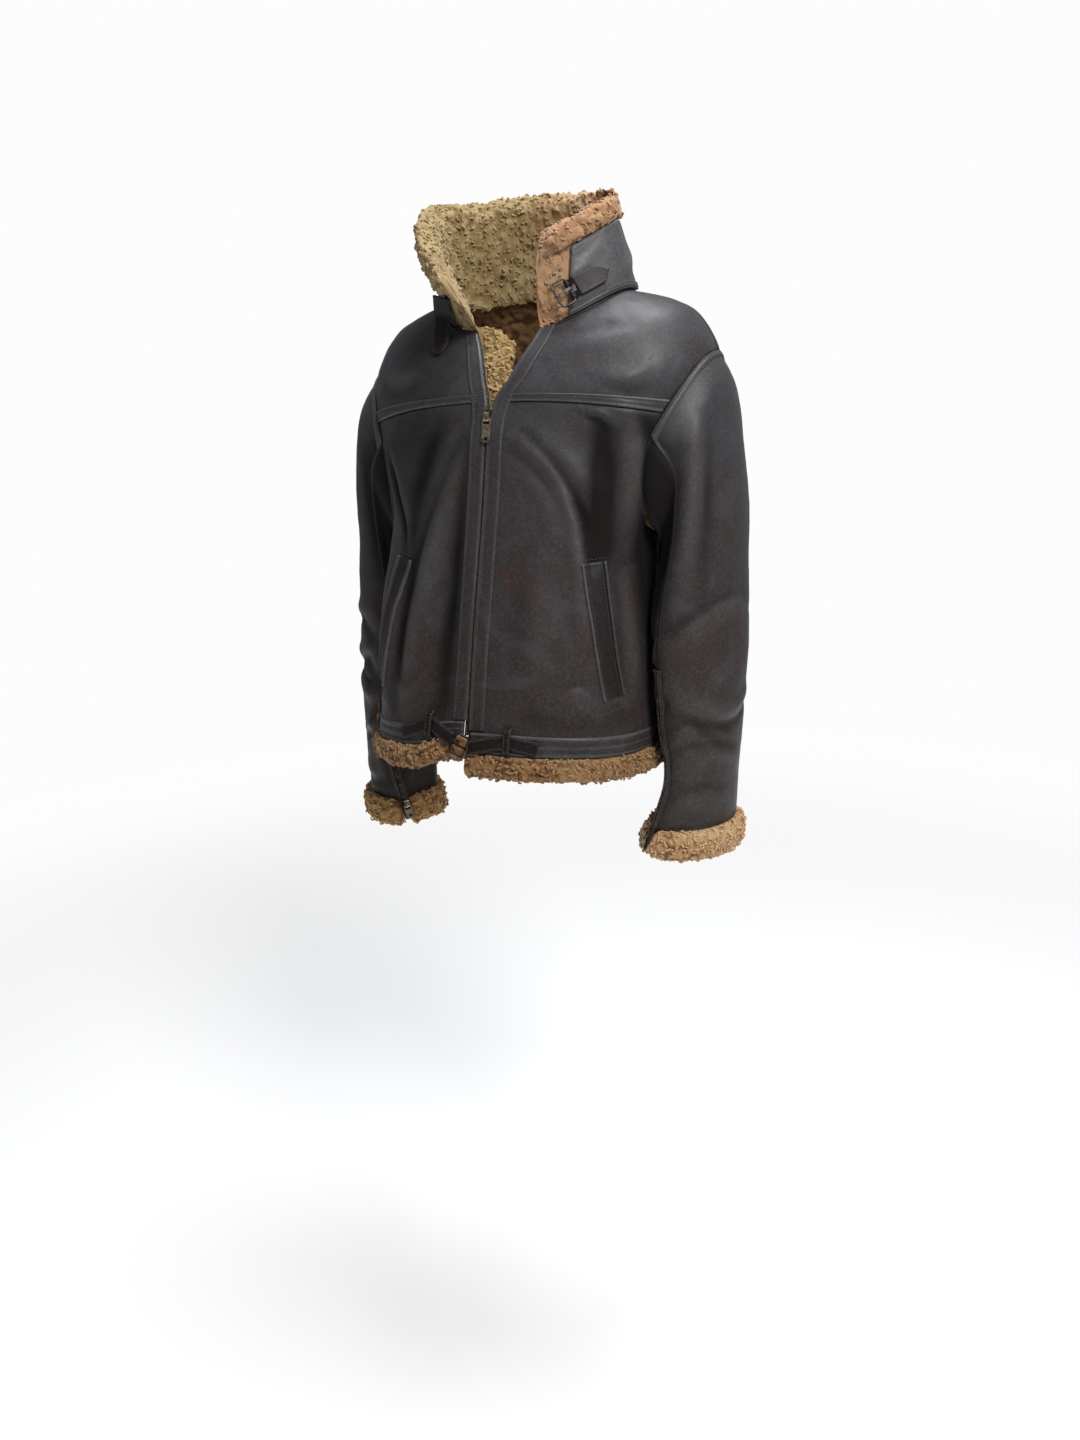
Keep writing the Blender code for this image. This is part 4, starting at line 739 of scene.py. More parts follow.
class Finish:
    """A surface finish made of nodes."""

    def __init__(self, name, **constants):
        self.material = bpy.data.materials.new(name)
        self.material.use_nodes = True
        self.tree = self.material.node_tree
        self.shader = self.tree.nodes["Principled BSDF"]
        for key, value in constants.items():
            self.shader.inputs[key.replace("_", " ")].default_value = value
        self.place = self.node("ShaderNodeTexCoord").outputs["Object"]

    def node(self, kind, settings=None, inputs=None):
        made = self.tree.nodes.new(kind)
        for key, value in (settings or {}).items():
            setattr(made, key, value)
        for key, value in (inputs or {}).items():
            self.feed(made.inputs[key], value)
        return made

    def feed(self, socket, value):
        if isinstance(value, Value):
            value = value.socket
        if isinstance(value, bpy.types.NodeSocket):
            self.tree.links.new(value, socket)
        else:
            socket.default_value = value

    def set(self, **inputs):
        for key, value in inputs.items():
            self.feed(self.shader.inputs[key.replace("_", " ")], value)

    def clouds(self, scale, detail=3.0, twist=0.0):
        inputs = {"Vector": self.place, "Scale": scale, "Detail": detail, "Distortion": twist}
        return Value(self, self.node("ShaderNodeTexNoise", {}, inputs).outputs[0])

    def cells(self, scale, feature="F1"):
        made = self.node("ShaderNodeTexVoronoi", {"feature": feature}, {"Vector": self.place, "Scale": scale})
        return Value(self, made.outputs["Distance"])

    def mark(self, name):
        return Value(self, self.node("ShaderNodeAttribute", {"attribute_name": name}).outputs["Fac"])

    def axis(self, which):
        """The place along X, Y or Z."""
        parts = self.node("ShaderNodeSeparateXYZ", {}, {0: self.place})
        return Value(self, parts.outputs[which])

    def from_middle(self):
        return (self.axis("X") ** 2.0 + self.axis("Y") ** 2.0) ** 0.5

    def ramp(self, value, low, high):
        """0 below low, 1 above high, and smooth between."""
        settings = {"interpolation_type": "SMOOTHSTEP"}
        inputs = {"Value": value, "From Min": low, "From Max": high}
        return Value(self, self.node("ShaderNodeMapRange", settings, inputs).outputs[0])

    def mix(self, factor, *colours):
        """The first colour where factor is 0 and the second where it is 1."""
        first, second = ((*colour, 1) if isinstance(colour, tuple) else colour for colour in colours)
        inputs = {0: factor, 6: first, 7: second}
        return self.node("ShaderNodeMix", {"data_type": "RGBA"}, inputs).outputs[2]

    def bump(self, height, distance, strength=1.0, under=None):
        inputs = {"Height": height, "Distance": distance, "Strength": strength}
        if under is not None:
            inputs["Normal"] = under
        return self.node("ShaderNodeBump", {}, inputs).outputs[0]


def leather(name, upper, lower, worn_colour, roughness, sheen, grain=1.0, rub=0.55, gloss=0.45):
    """Aged sheepskin leather: greyer and lighter above as a painted sheen of the light from above, darker and
    browner below as painted shade, paler on its rubbed ridges and edges.

    Russet, pale and dark patches lie over it, then speckles, then its rubbed ridges, then the painted shade
    of its folds and under its arms.
    """
    skin_side = Finish(
        name, Sheen_Weight=sheen, Sheen_Roughness=0.38, Sheen_Tint=(0.66, 0.74, 0.88, 1),
        Specular_IOR_Level=0.08, Coat_Roughness=0.46,
    )
    broad, cloud, fine = skin_side.clouds(7, 4), skin_side.clouds(34, 5, 0.6), skin_side.clouds(260, 3)

    def painted(colour, share, factors, tone):
        """The colour, with a share of a tone that is given by its factors laid over it."""
        return skin_side.mix(share, colour, tuple(f * c for f, c in zip(factors, tone)))

    # painted light: greyer and lighter higher up, as the sheen of the light from above, and darker and
    # browner lower down, as painted shade
    painted_shade_below = skin_side.ramp(skin_side.axis("Z") * -1.0 + (broad - 0.5) * 0.25, 0.10, 0.55)
    colour = skin_side.mix(painted_shade_below, upper, lower)
    patches = skin_side.clouds(16, 5, 1.2)
    colour = painted(colour, skin_side.ramp(patches, 0.52, 0.74) * 0.6, (1.45, 0.95, 0.80), lower)
    colour = painted(colour, skin_side.ramp(patches, 0.50, 0.28) * 0.5, (1.45, 1.45, 1.45), upper)
    colour = painted(colour, (skin_side.ramp(cloud, 0.35, 0.75) * 0.55).limited(), (0.50, 0.50, 0.50), lower)
    speckled = skin_side.ramp(fine + (cloud - 0.5) * 0.4, 0.42, 0.72)
    colour = painted(colour, speckled * 0.32, (1.7, 1.7, 1.7), upper)
    # the mark holds real wear where it is above zero and painted shade where it is below zero
    wear_and_painted_shade = skin_side.mark("wear_and_painted_shade")
    rubbed = (wear_and_painted_shade * (0.45 + 0.5 * skin_side.ramp(fine * 0.4 + cloud, 0.5, 1.0))).limited()
    colour = skin_side.mix(rubbed * rub, colour, worn_colour)
    # painted shade: where the mark is below zero, in crease troughs, sunken creases, under the arms, in the
    # listed shades and on the right sleeve, the leather is darkened and loses its coat's sheen
    deep = (wear_and_painted_shade * -1.0).limited()
    colour = painted(colour, deep * 0.85, (0.16, 0.16, 0.16), lower)
    pores = skin_side.cells(520, "SMOOTH_F1")
    creased = skin_side.clouds(90, 6, 0.8)
    normal = None
    for height, distance, strength in ((creased, 0.0016, 0.42), (pores, 0.0005, 0.35), (fine, 0.0008, 0.30)):
        normal = skin_side.bump(height, distance, strength * grain, normal)
    skin_side.set(
        Base_Color=colour,
        Roughness=roughness + (cloud - 0.5) * 0.30 + (fine - 0.5) * 0.20 - rubbed * 0.06 + deep * 0.2,
        Coat_Weight=((1.0 - deep) * (0.2 + cloud + 0.6 * fine) * gloss).limited(),
        Normal=normal,
    )
    return skin_side.material


def fleece(name, tones, right_tones=None, depth=1.0):
    """Curly sheep's wool, with painted shade in the hollows between the curls, and bleached on some of them.

    Tones are the colours of its hollows, painted as shade, its body, its tops and its paler parts;
    right_tones are those of the wearer's right side, where they differ: a real change of tone on the collar,
    painted shade on the cuffs.
    """
    woolly = Finish(
        name, Sheen_Weight=0.30, Sheen_Roughness=0.5, Sheen_Tint=(1.0, 0.88, 0.68, 1), Specular_IOR_Level=0.2,
    )
    tip, broad = woolly.mark("tip"), woolly.clouds(13, 3)
    cloud, fine = woolly.clouds(60, 4, 1.0), woolly.clouds(300, 3)
    if right_tones:
        place = woolly.axis("X") * -1.0 + (cloud - 0.5) * 0.06 + (broad - 0.5) * 0.08
        rightward = woolly.ramp(place, -0.065, 0.045)
        tones = [woolly.mix(rightward, own, other) for own, other in zip(tones, right_tones)]
    hollow, body, top, pale = tones
    # painted shade: darker towards the hollows between the curls, where the mark is low
    colour = woolly.mix(woolly.ramp(tip + (cloud - 0.5) * 0.45, 0.02, 0.50), hollow, body)
    colour = woolly.mix(woolly.ramp(tip + (fine - 0.5) * 0.35 + (cloud - 0.5) * 0.3, 0.45, 1.05), colour, top)
    colour = woolly.mix((woolly.ramp(broad, 0.46, 0.68) * 0.75).limited(), colour, pale)
    strands = woolly.clouds(700, 3, 2.0) + woolly.cells(260) * 0.5
    normal = woolly.bump(strands, 0.0010, 0.6 * depth)
    woolly.set(Base_Color=colour, Roughness=0.88 + fine * 0.1, Normal=normal)
    return woolly.material


def metal(name, bright, dark, roughness):
    """Old plated metal, dull in its hollows."""
    plated = Finish(name)
    tarnish, fine = plated.clouds(160, 5, 0.5), plated.clouds(900, 3)
    plated.set(
        Base_Color=plated.mix(plated.ramp(tarnish + (fine - 0.5) * 0.4, 0.38, 0.66), bright, dark),
        Metallic=1.0 - plated.ramp(tarnish, 0.62, 0.85) * 0.4,
        Roughness=roughness + (tarnish - 0.4) * 0.4,
        Normal=plated.bump(fine, 0.0002, 0.5),
    )
    return plated.material


def woven(name, colour, dark):
    """A plain woven tape or twisted thread."""
    cloth = Finish(name, Sheen_Weight=0.15)
    strands = cloth.node(
        "ShaderNodeTexWave", {"bands_direction": "DIAGONAL"},
        {"Vector": cloth.place, "Scale": 260.0, "Distortion": 1.5},
    )
    weave = Value(cloth, strands.outputs["Fac"])
    cloth.set(
        Base_Color=cloth.mix(weave * 0.6 + cloth.clouds(60) * 0.3, dark, colour),
        Roughness=0.75 + weave * 0.1,
        Normal=cloth.bump(weave, 0.0003, 0.6),
    )
    return cloth.material


# each leather's first colour is its greyer, lighter top, painted as the sheen of the light from above; its
# second is the darker, browner colour lower down, painted as shade
HIDE = leather(
    "hide_leather", (0.041, 0.039, 0.043), (0.032, 0.024, 0.021), (0.100, 0.092, 0.088), 0.52, 0.05,
)
BINDING = leather(
    "binding_leather", (0.036, 0.036, 0.039), (0.026, 0.021, 0.020), (0.135, 0.132, 0.135),
    0.48, 0.06, 0.7, 0.6,
)
# a lighter copy of the hide's leather: painted light where the light from above falls on the collar
COLLAR_HIDE = leather(
    "collar_hide", (0.072, 0.071, 0.075), (0.060, 0.055, 0.055), (0.190, 0.187, 0.190),
    0.48, 0.06, 0.7, 0.5,
)
STRIP_LEATHER = leather(
    "strip_leather", (0.040, 0.038, 0.041), (0.030, 0.023, 0.021), (0.085, 0.080, 0.080),
    0.48, 0.05, 0.7, 0.5,
)
STRAPS = leather(
    "strap_leather", (0.012, 0.009, 0.008), (0.010, 0.006, 0.005), (0.070, 0.060, 0.055),
    0.40, 0.02, 0.7, 0.7, 0.30,
)
WELT = leather(
    "pocket_leather", (0.013, 0.012, 0.012), (0.010, 0.008, 0.007), (0.032, 0.029, 0.027), 0.50, 0.03, 0.8,
)
INNER_WOOL = fleece(
    "inner_wool", ((0.12, 0.056, 0.022), (0.30, 0.160, 0.070), (0.42, 0.25, 0.120), (0.40, 0.27, 0.13)),
)
LOWER_WOOL = fleece(
    "dark_golden_wool",
    ((0.080, 0.035, 0.013), (0.213, 0.106, 0.043), (0.350, 0.198, 0.087), (0.327, 0.201, 0.087)),
)
CUFF_WOOL_FINISH = fleece(
    "golden_wool",
    ((0.20, 0.095, 0.040), (0.45, 0.260, 0.125), (0.62, 0.400, 0.215), (0.58, 0.405, 0.210)),
    # the right cuff's tones are darker, as painted shade on the side turned from the lamps
    ((0.18, 0.080, 0.030), (0.42, 0.230, 0.095), (0.56, 0.340, 0.155), (0.52, 0.330, 0.145)),
)
COLLAR_WOOL = fleece(
    "collar_wool",
    ((0.279, 0.149, 0.077), (0.360, 0.203, 0.106), (0.405, 0.243, 0.135), (0.414, 0.270, 0.155)),
    ((0.225, 0.149, 0.067), (0.297, 0.211, 0.097), (0.351, 0.261, 0.128), (0.360, 0.275, 0.140)), 0.5,
)
FLAP_WOOL = fleece(
    "flap_wool",
    ((0.174, 0.100, 0.035), (0.304, 0.196, 0.075), (0.400, 0.283, 0.122), (0.400, 0.291, 0.131)), None, 0.7,
)
BRASS = metal("antique_brass", (0.52, 0.44, 0.31), (0.16, 0.125, 0.085), 0.38)
GUNMETAL = metal("dark_plated_metal", (0.075, 0.070, 0.068), (0.022, 0.020, 0.019), 0.38)
TEETH = metal("zip_metal", (0.20, 0.16, 0.11), (0.05, 0.04, 0.03), 0.42)
THREAD = woven("waxed_thread", (0.060, 0.056, 0.056), (0.034, 0.031, 0.029))
FRONT_TAPE = woven("dark_zip_tape", (0.024, 0.020, 0.018), (0.012, 0.010, 0.009))

# ---------------------------------------------------------------- creases, listed
TROUGH_DEPTH = 0.7
BODY_CREASES = (
    # places as (turn in degrees, height); then width, rise, and how far the trough lies to the right
    # left front
    (
        ((7, 0.500), (13, 0.465), (21, 0.415), (29, 0.355), (35, 0.300), (38, 0.235), (40, 0.180)),
        0.0095, 0.0046, -1.7,
    ),
    (((5, 0.445), (12, 0.415), (20, 0.365), (26, 0.310)), 0.0100, 0.0020, -1.5),
    (((31, 0.560), (36, 0.500), (41, 0.420), (45, 0.330), (47, 0.260)), 0.0190, -0.0056, 0),
    (((27, 0.568), (32, 0.566), (39, 0.548)), 0.0055, 0.0026, 1.5),
    (((42, 0.570), (49, 0.500), (56, 0.420), (62, 0.340)), 0.0170, 0.0034, -1.5),
    (((66, 0.540), (71, 0.450), (76, 0.370), (79, 0.290)), 0.0150, -0.0060, 0),
    (((18, 0.270), (21, 0.200), (22, 0.120)), 0.0200, 0.0020, 1.5),
    (((64, 0.270), (68, 0.190), (71, 0.090)), 0.0140, 0.0030, 1.5),
    (((52, 0.085), (58, 0.095), (66, 0.080)), 0.0080, 0.0018, 1.4),
    (((30, 0.085), (38, 0.100), (48, 0.075)), 0.0080, 0.0014, -1.4),
    (((24, 0.860), (36, 0.820), (48, 0.780)), 0.0140, 0.0014, -1.5),
    (((30, 0.700), (40, 0.680), (50, 0.700)), 0.0120, 0.0014, 1.5),
    # right front
    (((-5, 0.470), (-11, 0.365), (-18, 0.265), (-23, 0.165), (-26, 0.070)), 0.0130, 0.0050, 1.7),
    (((-4, 0.430), (-5, 0.310), (-7, 0.190), (-8, 0.070)), 0.0120, -0.0058, 0),
    (((-14, 0.530), (-23, 0.440), (-31, 0.340), (-36, 0.250)), 0.0200, -0.0056, 0),
    (((-44, 0.500), (-42, 0.410), (-36, 0.290)), 0.0080, 0.0036, 1.5),
    (((-52, 0.480), (-50, 0.390), (-45, 0.300)), 0.0080, 0.0030, -1.5),
    (((-34, 0.260), (-38, 0.170), (-37, 0.080)), 0.0120, 0.0034, -1.5),
    (((-56, 0.260), (-58, 0.160), (-54, 0.070)), 0.0140, 0.0036, 1.5),
    (((-66, 0.530), (-70, 0.440), (-73, 0.340)), 0.0150, -0.0060, 0),
    (((-16, 0.110), (-24, 0.085), (-34, 0.095)), 0.0080, 0.0018, 1.4),
    (((-28, 0.740), (-38, 0.700), (-48, 0.730)), 0.0130, 0.0018, -1.5),
    # back
    (((118, 0.520), (128, 0.460), (140, 0.440)), 0.0150, 0.0038, 1.5),
    (((112, 0.400), (119, 0.300), (123, 0.180)), 0.0150, 0.0036, -1.5),
    (((150, 0.300), (157, 0.200), (155, 0.090)), 0.0170, 0.0030, 1.5),
    (((176, 0.360), (180, 0.240), (178, 0.120)), 0.0170, 0.0026, 1.5),
    (((150, 0.520), (176, 0.490), (204, 0.525)), 0.0170, 0.0026, 1.5),
    (((140, 0.130), (165, 0.105), (190, 0.125)), 0.0120, 0.0024, 1.4),
    (((-118, 0.530), (-129, 0.470), (-141, 0.450)), 0.0150, 0.0038, -1.5),
    (((-113, 0.390), (-119, 0.290), (-123, 0.170)), 0.0150, 0.0038, 1.5),
    (((-158, 0.310), (-152, 0.210), (-157, 0.100)), 0.0160, 0.0032, -1.5),
    (((160, 0.800), (182, 0.770), (202, 0.800)), 0.0170, 0.0018, 1.5),
)
SLEEVE_CREASES = {
    # places as (around in degrees, along)
    LEFT: (
        (((84, 0.070), (96, 0.150), (104, 0.250), (104, 0.360), (98, 0.460)), 0.0170, -0.0070, 0),
        (((56, 0.100), (62, 0.200), (66, 0.310), (66, 0.420)), 0.0140, 0.0036, -1.6),
        (((-40, 0.500), (0, 0.470), (45, 0.505), (70, 0.530)), 0.0110, 0.0024, 1.5),
        (((-60, 0.640), (-10, 0.690), (40, 0.655), (78, 0.610)), 0.0120, 0.0030, -1.5),
        (((-30, 0.820), (10, 0.790), (55, 0.800)), 0.0110, 0.0024, 1.5),
        (((14, 0.760), (40, 0.730), (74, 0.745)), 0.0080, 0.0018, 1.5),
        (((80, 0.500), (105, 0.540), (150, 0.520)), 0.0120, 0.0040, 1.5),
        (((85, 0.620), (120, 0.650), (170, 0.620)), 0.0120, 0.0036, -1.5),
        (((-70, 0.200), (-60, 0.300), (-64, 0.400)), 0.0140, 0.0030, 1.5),
        (((190, 0.480), (215, 0.520), (255, 0.490)), 0.0130, 0.0038, 1.5),
        (((185, 0.700), (220, 0.670), (262, 0.720)), 0.0130, 0.0034, -1.5),
        (((-20, 0.920), (20, 0.900), (60, 0.930)), 0.0100, 0.0016, 1.5),
    ),
    RIGHT: (
        (((-50, 0.460), (-10, 0.500), (40, 0.480), (78, 0.520)), 0.0120, 0.0036, 1.5),
        (((-40, 0.560), (10, 0.590), (50, 0.565), (80, 0.610)), 0.0120, 0.0040, 1.5),
        (((-60, 0.700), (-10, 0.660), (40, 0.690), (76, 0.665)), 0.0110, 0.0036, -1.5),
        (((10, 0.800), (45, 0.770), (78, 0.790)), 0.0100, 0.0034, 1.5),
        (((80, 0.070), (92, 0.160), (98, 0.270), (96, 0.400)), 0.0160, -0.0064, 0),
        (((84, 0.440), (115, 0.470), (160, 0.450)), 0.0120, 0.0038, 1.5),
        (((88, 0.560), (120, 0.590), (165, 0.560)), 0.0120, 0.0040, -1.5),
        (((30, 0.150), (46, 0.240), (44, 0.360)), 0.0120, 0.0034, 1.5),
        (((-64, 0.180), (-50, 0.280), (-58, 0.400)), 0.0140, 0.0032, 1.5),
        (((190, 0.460), (220, 0.500), (258, 0.470)), 0.0130, 0.0038, -1.5),
        (((188, 0.660), (222, 0.700), (260, 0.670)), 0.0130, 0.0036, 1.5),
        (((-10, 0.900), (25, 0.925), (60, 0.900)), 0.0100, 0.0024, 1.5),
    ),
}
CREASE_STEPS = 12


def on_the_body(route):
    """A listed route on the bare body as a smooth line of points."""
    turn, height = np.array(route, float).T
    at = np.linspace(0, len(turn) - 1, CREASE_STEPS)
    stations = np.arange(len(turn))
    return bare_cape(carried(height, stations, at), np.radians(carried(turn, stations, at)))


body_creases = [(on_the_body(route), width, rise, trough) for route, width, rise, trough in BODY_CREASES]
CALM_BESIDE_ZIP = 0.030
UNEVEN = ((0.060, 0.0012), (0.016, 0.00045))  # size and height of the leather's unevenness


def uneven(points, seed):
    """The leather's small unevenness."""
    return sum(height * ripple(points, size, seed + k) for k, (size, height) in enumerate(UNEVEN))


BODY_SHADES = (
    # painted shade of deep folds, under the arms, beside the zip and on the right front: places as (turn in
    # degrees, height), then width and depth
    (((66, 0.560), (71, 0.450), (77, 0.350), (82, 0.250), (88, 0.120)), 0.034, 1.25),
    (((36, 0.556), (41, 0.480), (45, 0.400), (49, 0.320)), 0.032, 0.55),
    (((50, 0.560), (58, 0.520), (66, 0.480)), 0.020, 0.50),
    (((-66, 0.560), (-70, 0.450), (-75, 0.350), (-80, 0.240)), 0.034, 1.25),
    (((-22, 0.540), (-36, 0.500), (-48, 0.430)), 0.042, 0.55),
    (((-4, 0.500), (-5, 0.350), (-7, 0.200), (-8, 0.060)), 0.015, 0.55),
    (((-30, 0.270), (-36, 0.180), (-36, 0.080)), 0.020, 0.45),
    (((-26, 0.800), (-40, 0.760), (-56, 0.740)), 0.040, 0.35),
    (((20, 0.060), (40, 0.050), (60, 0.055)), 0.014, 0.35),
)
body_shades = [(on_the_body(route), width, depth) for route, width, depth in BODY_SHADES]


def shaded(points, shades):
    """How much painted shade lies on the leather near the lines of the shades."""
    whole = np.zeros(points.shape[:-1])
    for line, width, depth in shades:
        best = np.full(points.shape[:-1], np.inf)
        for a, b in zip(line[:-1], line[1:]):
            along = np.clip(((points - a) @ (b - a)) / ((b - a) @ (b - a)), 0, 1)
            best = np.minimum(best, np.linalg.norm(points - a - along[..., None] * (b - a), axis=-1))
        whole += depth * np.exp(-((best / width) ** 2))
    return whole


def skin(height, turn):
    """The leather's face on the body, its normals, and its wear with the painted shade of its folds."""
    height, turn = np.broadcast_arrays(np.asarray(height, float), np.asarray(turn, float))
    points, out = cape(height, turn), cape_normal(height, turn)
    lift, wear_and_painted_shade = crease_lift(points, out, body_creases)
    edge = opening(height)
    beside = np.clip((np.abs(points[..., 0]) - edge - 0.004) / CALM_BESIDE_ZIP, 0, 1)
    calm = np.where(np.cos(turn) > 0, beside * beside * (3 - 2 * beside), 1.0)
    points = points + (calm * (lift + uneven(points, 3.0)))[..., None] * out
    # the mark holds the creases' wear and painted shade, less the painted shade of the listed shades
    return points, out, wear_and_painted_shade * calm - shaded(points, body_shades)


# ---------------------------------------------------------------- hides of the body
ROWS_BELOW, ROWS_PER_STEP, ROWS_ABOVE = 78, 8, 28
ROLL_DEPTH, ROLL_WIDTH = 0.0014, 0.0024  # how far a hide's edges turn in at a seam
PUCKER, PUCKER_REACH, PUCKER_LENGTH = 0.0005, 0.007, 0.008
WOOL_INSIDE, WOOL_IN_SLEEVE, WOOL_INSIDE_CURL, WOOL_INSIDE_SIZE = 0.0066, 0.0034, 0.0030, 0.0100


def rows_between(first, last):
    """Heights of a hide's rows, even round the armhole's curve."""
    curve = [armhole_level(k / ROWS_PER_STEP) for k in range(ARMHOLE_STEPS * ROWS_PER_STEP + 1)]
    every = np.concatenate([
        np.linspace(0, ARMPIT, ROWS_BELOW)[:-1], curve, np.linspace(SHOULDER_TIP, 1, ROWS_ABOVE)[1:],
    ])
    inside = every[(every > first + 0.002) & (every < last - 0.002)]
    return np.concatenate([[first + HALF_SEAM_HEIGHT], inside, [last - HALF_SEAM_HEIGHT]])


def turns_across(heights, start, end, columns):
    """Turns of a grid on the cape, evenly spaced across each row."""
    found = np.empty((len(heights), columns))
    for i, height in enumerate(heights):
        fine = np.linspace(start(height), end(height), 121)
        length = walked(bare_cape(np.full_like(fine, height), fine))
        found[i] = np.interp(np.linspace(SEAM / 2, length[-1] - SEAM / 2, columns), length, fine)
    return found


def from_edges(points):
    """Distance of a grid's points from its nearest edge, walked along its rows and columns."""
    across = np.linalg.norm(np.diff(points, axis=1), axis=2)
    down = np.linalg.norm(np.diff(points, axis=0), axis=2)
    zero_row, zero_column = np.zeros((1, points.shape[1])), np.zeros((points.shape[0], 1))
    left = np.concatenate([zero_column, np.cumsum(across, axis=1)], axis=1)
    right = left[:, -1:] - left
    low = np.concatenate([zero_row, np.cumsum(down, axis=0)])
    high = low[-1:] - low
    return np.minimum(np.minimum(left, right), np.minimum(low, high))


def hide(name, node, points, out, wear_and_painted_shade, seed, wool=WOOL_INSIDE):
    """A hide: leather outside with its edges turned in at the seams, and clipped wool inside."""
    edge = from_edges(points)
    seam = PUCKER * np.exp(-edge / PUCKER_REACH) * ripple(points, PUCKER_LENGTH, seed + 7)
    turned_in = ROLL_DEPTH * np.exp(-((edge / ROLL_WIDTH) ** 2))
    outer = points + (seam - turned_in)[..., None] * out
    curl = curls(points - WOOL_INSIDE * out, WOOL_INSIDE_SIZE, seed)
    rim = np.clip(edge / 0.012, 0, 1)
    thick = wool * (0.3 + 0.7 * rim) + WOOL_INSIDE_CURL * (curl - 0.5) * rim * wool / WOOL_INSIDE
    inner = points - thick[..., None] * out
    wear_and_painted_shade = np.clip(wear_and_painted_shade + 0.35 * np.exp(-((edge / 0.004) ** 2)), -1, 1)
    # the leather's mark holds wear and painted shade; the wool's mark is low in the hollows between its
    # curls, where painted shade falls
    marks = [("wear_and_painted_shade", wear_and_painted_shade, np.zeros_like(wear_and_painted_shade)), ("tip", np.zeros_like(wear_and_painted_shade), curl)]
    made = closed_sheet(name, outer, inner, [HIDE, INNER_WOOL], marks)
    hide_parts(node)
    return made


FRONT_ACROSS, BACK_ACROSS = 64, 122
body_hides = []
for side, hand in HANDS:
    start, end = (lambda h: side * front_edge(h)), (lambda h: side * side_front(h))
    for part, first, last, flat, area in (
        ("front", 0.0, YOKE, (0.328, 0.491), 0.120), ("yoke", YOKE, 1.0, (0.300, 0.284), 0.035),
    ):
        heights = rows_between(first, last)
        turns = turns_across(heights, start, end, FRONT_ACROSS)
        points, out, wear_and_painted_shade = skin(heights[:, None], turns)
        made = hide(f"{part}_{hand}_hide", f"{part}_{hand}", points, out, wear_and_painted_shade, 2.0 + side)
        body_hides.append(made)

heights = rows_between(0.0, 1.0)
turns = turns_across(heights, side_back, lambda h: 2 * math.pi - side_back(h), BACK_ACROSS)
points, out, wear_and_painted_shade = skin(heights[:, None], turns)
body_hides.append(hide("back_hide", "back", points, out, wear_and_painted_shade, 9.0))
hide_tree = surface_of(*body_hides)

# ---------------------------------------------------------------- tapes, bands and strips on the body
HEM_RIBS = ((0.10, 0.05, 0.0012), (0.52, 0.035, 0.0008), (0.90, 0.05, 0.0012))
BAND_ACROSS = 15


def level_band(first, last, start, end, count):
    """A grid on the body's skin between two heights, with its columns from the lower to the upper."""
    heights = np.linspace(first, last, BAND_ACROSS)
    turns = turns_across(heights, start, end, count)
    points, out, _ = skin(heights[:, None], turns)
    return points.swapaxes(0, 1), out.swapaxes(0, 1)


for side, hand in HANDS:
    start, end = (lambda h: side * front_edge(h)), (lambda h: side * side_front(h))
    base, out = level_band(HALF_SEAM_HEIGHT, HEM_BAND_LEVEL, start, end, 90)
    strip(
        f"hem_band_{hand}_leather", f"hem_band_{hand}", base, out, 0.0015, BINDING,
        HEM_RIBS, (0.30, 0.72), "hem",
    )
    base, out = level_band(YOKE + HALF_SEAM_HEIGHT, YOKE + YOKE_TAPE_LEVEL, start, end, 90)
    strip(
        f"yoke_tape_{hand}_leather", f"yoke_tape_{hand}", base[4:-1], out[4:-1], 0.0013, BINDING,
        ((0.10, 0.06, 0.0005), (0.90, 0.06, 0.0005)), (0.26, 0.74), "front",
    )
base, out = level_band(HALF_SEAM_HEIGHT, HEM_BAND_LEVEL, side_back, lambda h: 2 * math.pi - side_back(h), 170)
strip("hem_band_back_leather", "hem_band_back", base, out, 0.0015, BINDING, HEM_RIBS, (0.30, 0.72), "hem")

STRIP_ACROSS = 17
ZIP_RIBS = ((0.13, 0.08, 0.0014), (0.90, 0.05, 0.0006))
OVER_TEETH, CLEAR_OF_SLIDER = 0.0036, 0.030  # the strips cover the teeth, but part round the slider


def beside_zip(heights, first, last, count, side, parted=False):
    """A grid beside the zip: columns from first, beyond the front's edge, to last on the leather.

    Where it is parted, it draws back from the slider.
    """
    places = np.linspace(first, last, count)
    rows, normals = [], []
    for height in heights:
        near = np.clip(1.4 * abs(height - V_FOOT) / CLEAR_OF_SLIDER - 0.4, 0, 1) if parted else 1.0
        _, across, _ = front_frame(height, side)
        fine = np.linspace(side * front_edge(height), side * side_front(height), 161)
        length = walked(bare_cape(np.full_like(fine, height), fine))
        turn = np.interp(np.clip(places, 0, None), length, fine)
        beyond = np.where(places < 0, -places * near, 0.0)
        points, outs, _ = skin(np.full_like(turn, height), turn)
        rows.append(points + beyond[:, None] * across)
        normals.append(outs)
    return np.array(rows), np.array(normals)


for side, hand in HANDS:
    heights = np.linspace(HEM_BAND_LEVEL + 0.002, 0.9985, 210)
    points, out = beside_zip(heights, -OVER_TEETH, ZIP_STRIP_WIDTH, STRIP_ACROSS, side, parted=True)
    strip(
        f"zip_strip_{hand}_leather", f"zip_strip_{hand}", points, out, 0.0015, STRIP_LEATHER, ZIP_RIBS,
        (0.27, 0.80), "front",
    )
    # the woven tape that carries the teeth, behind them
    points, out = beside_zip(np.linspace(0.003, 0.998, 120), -ZIP_HALF - 0.0012, 0.0, 5, side)
    behind = 0.0042 + 0.0005 * side
    face, back = points - (behind - 0.0006) * out, points - behind * out
    made = closed_sheet(f"zip_tape_{hand}", face, back, [FRONT_TAPE])

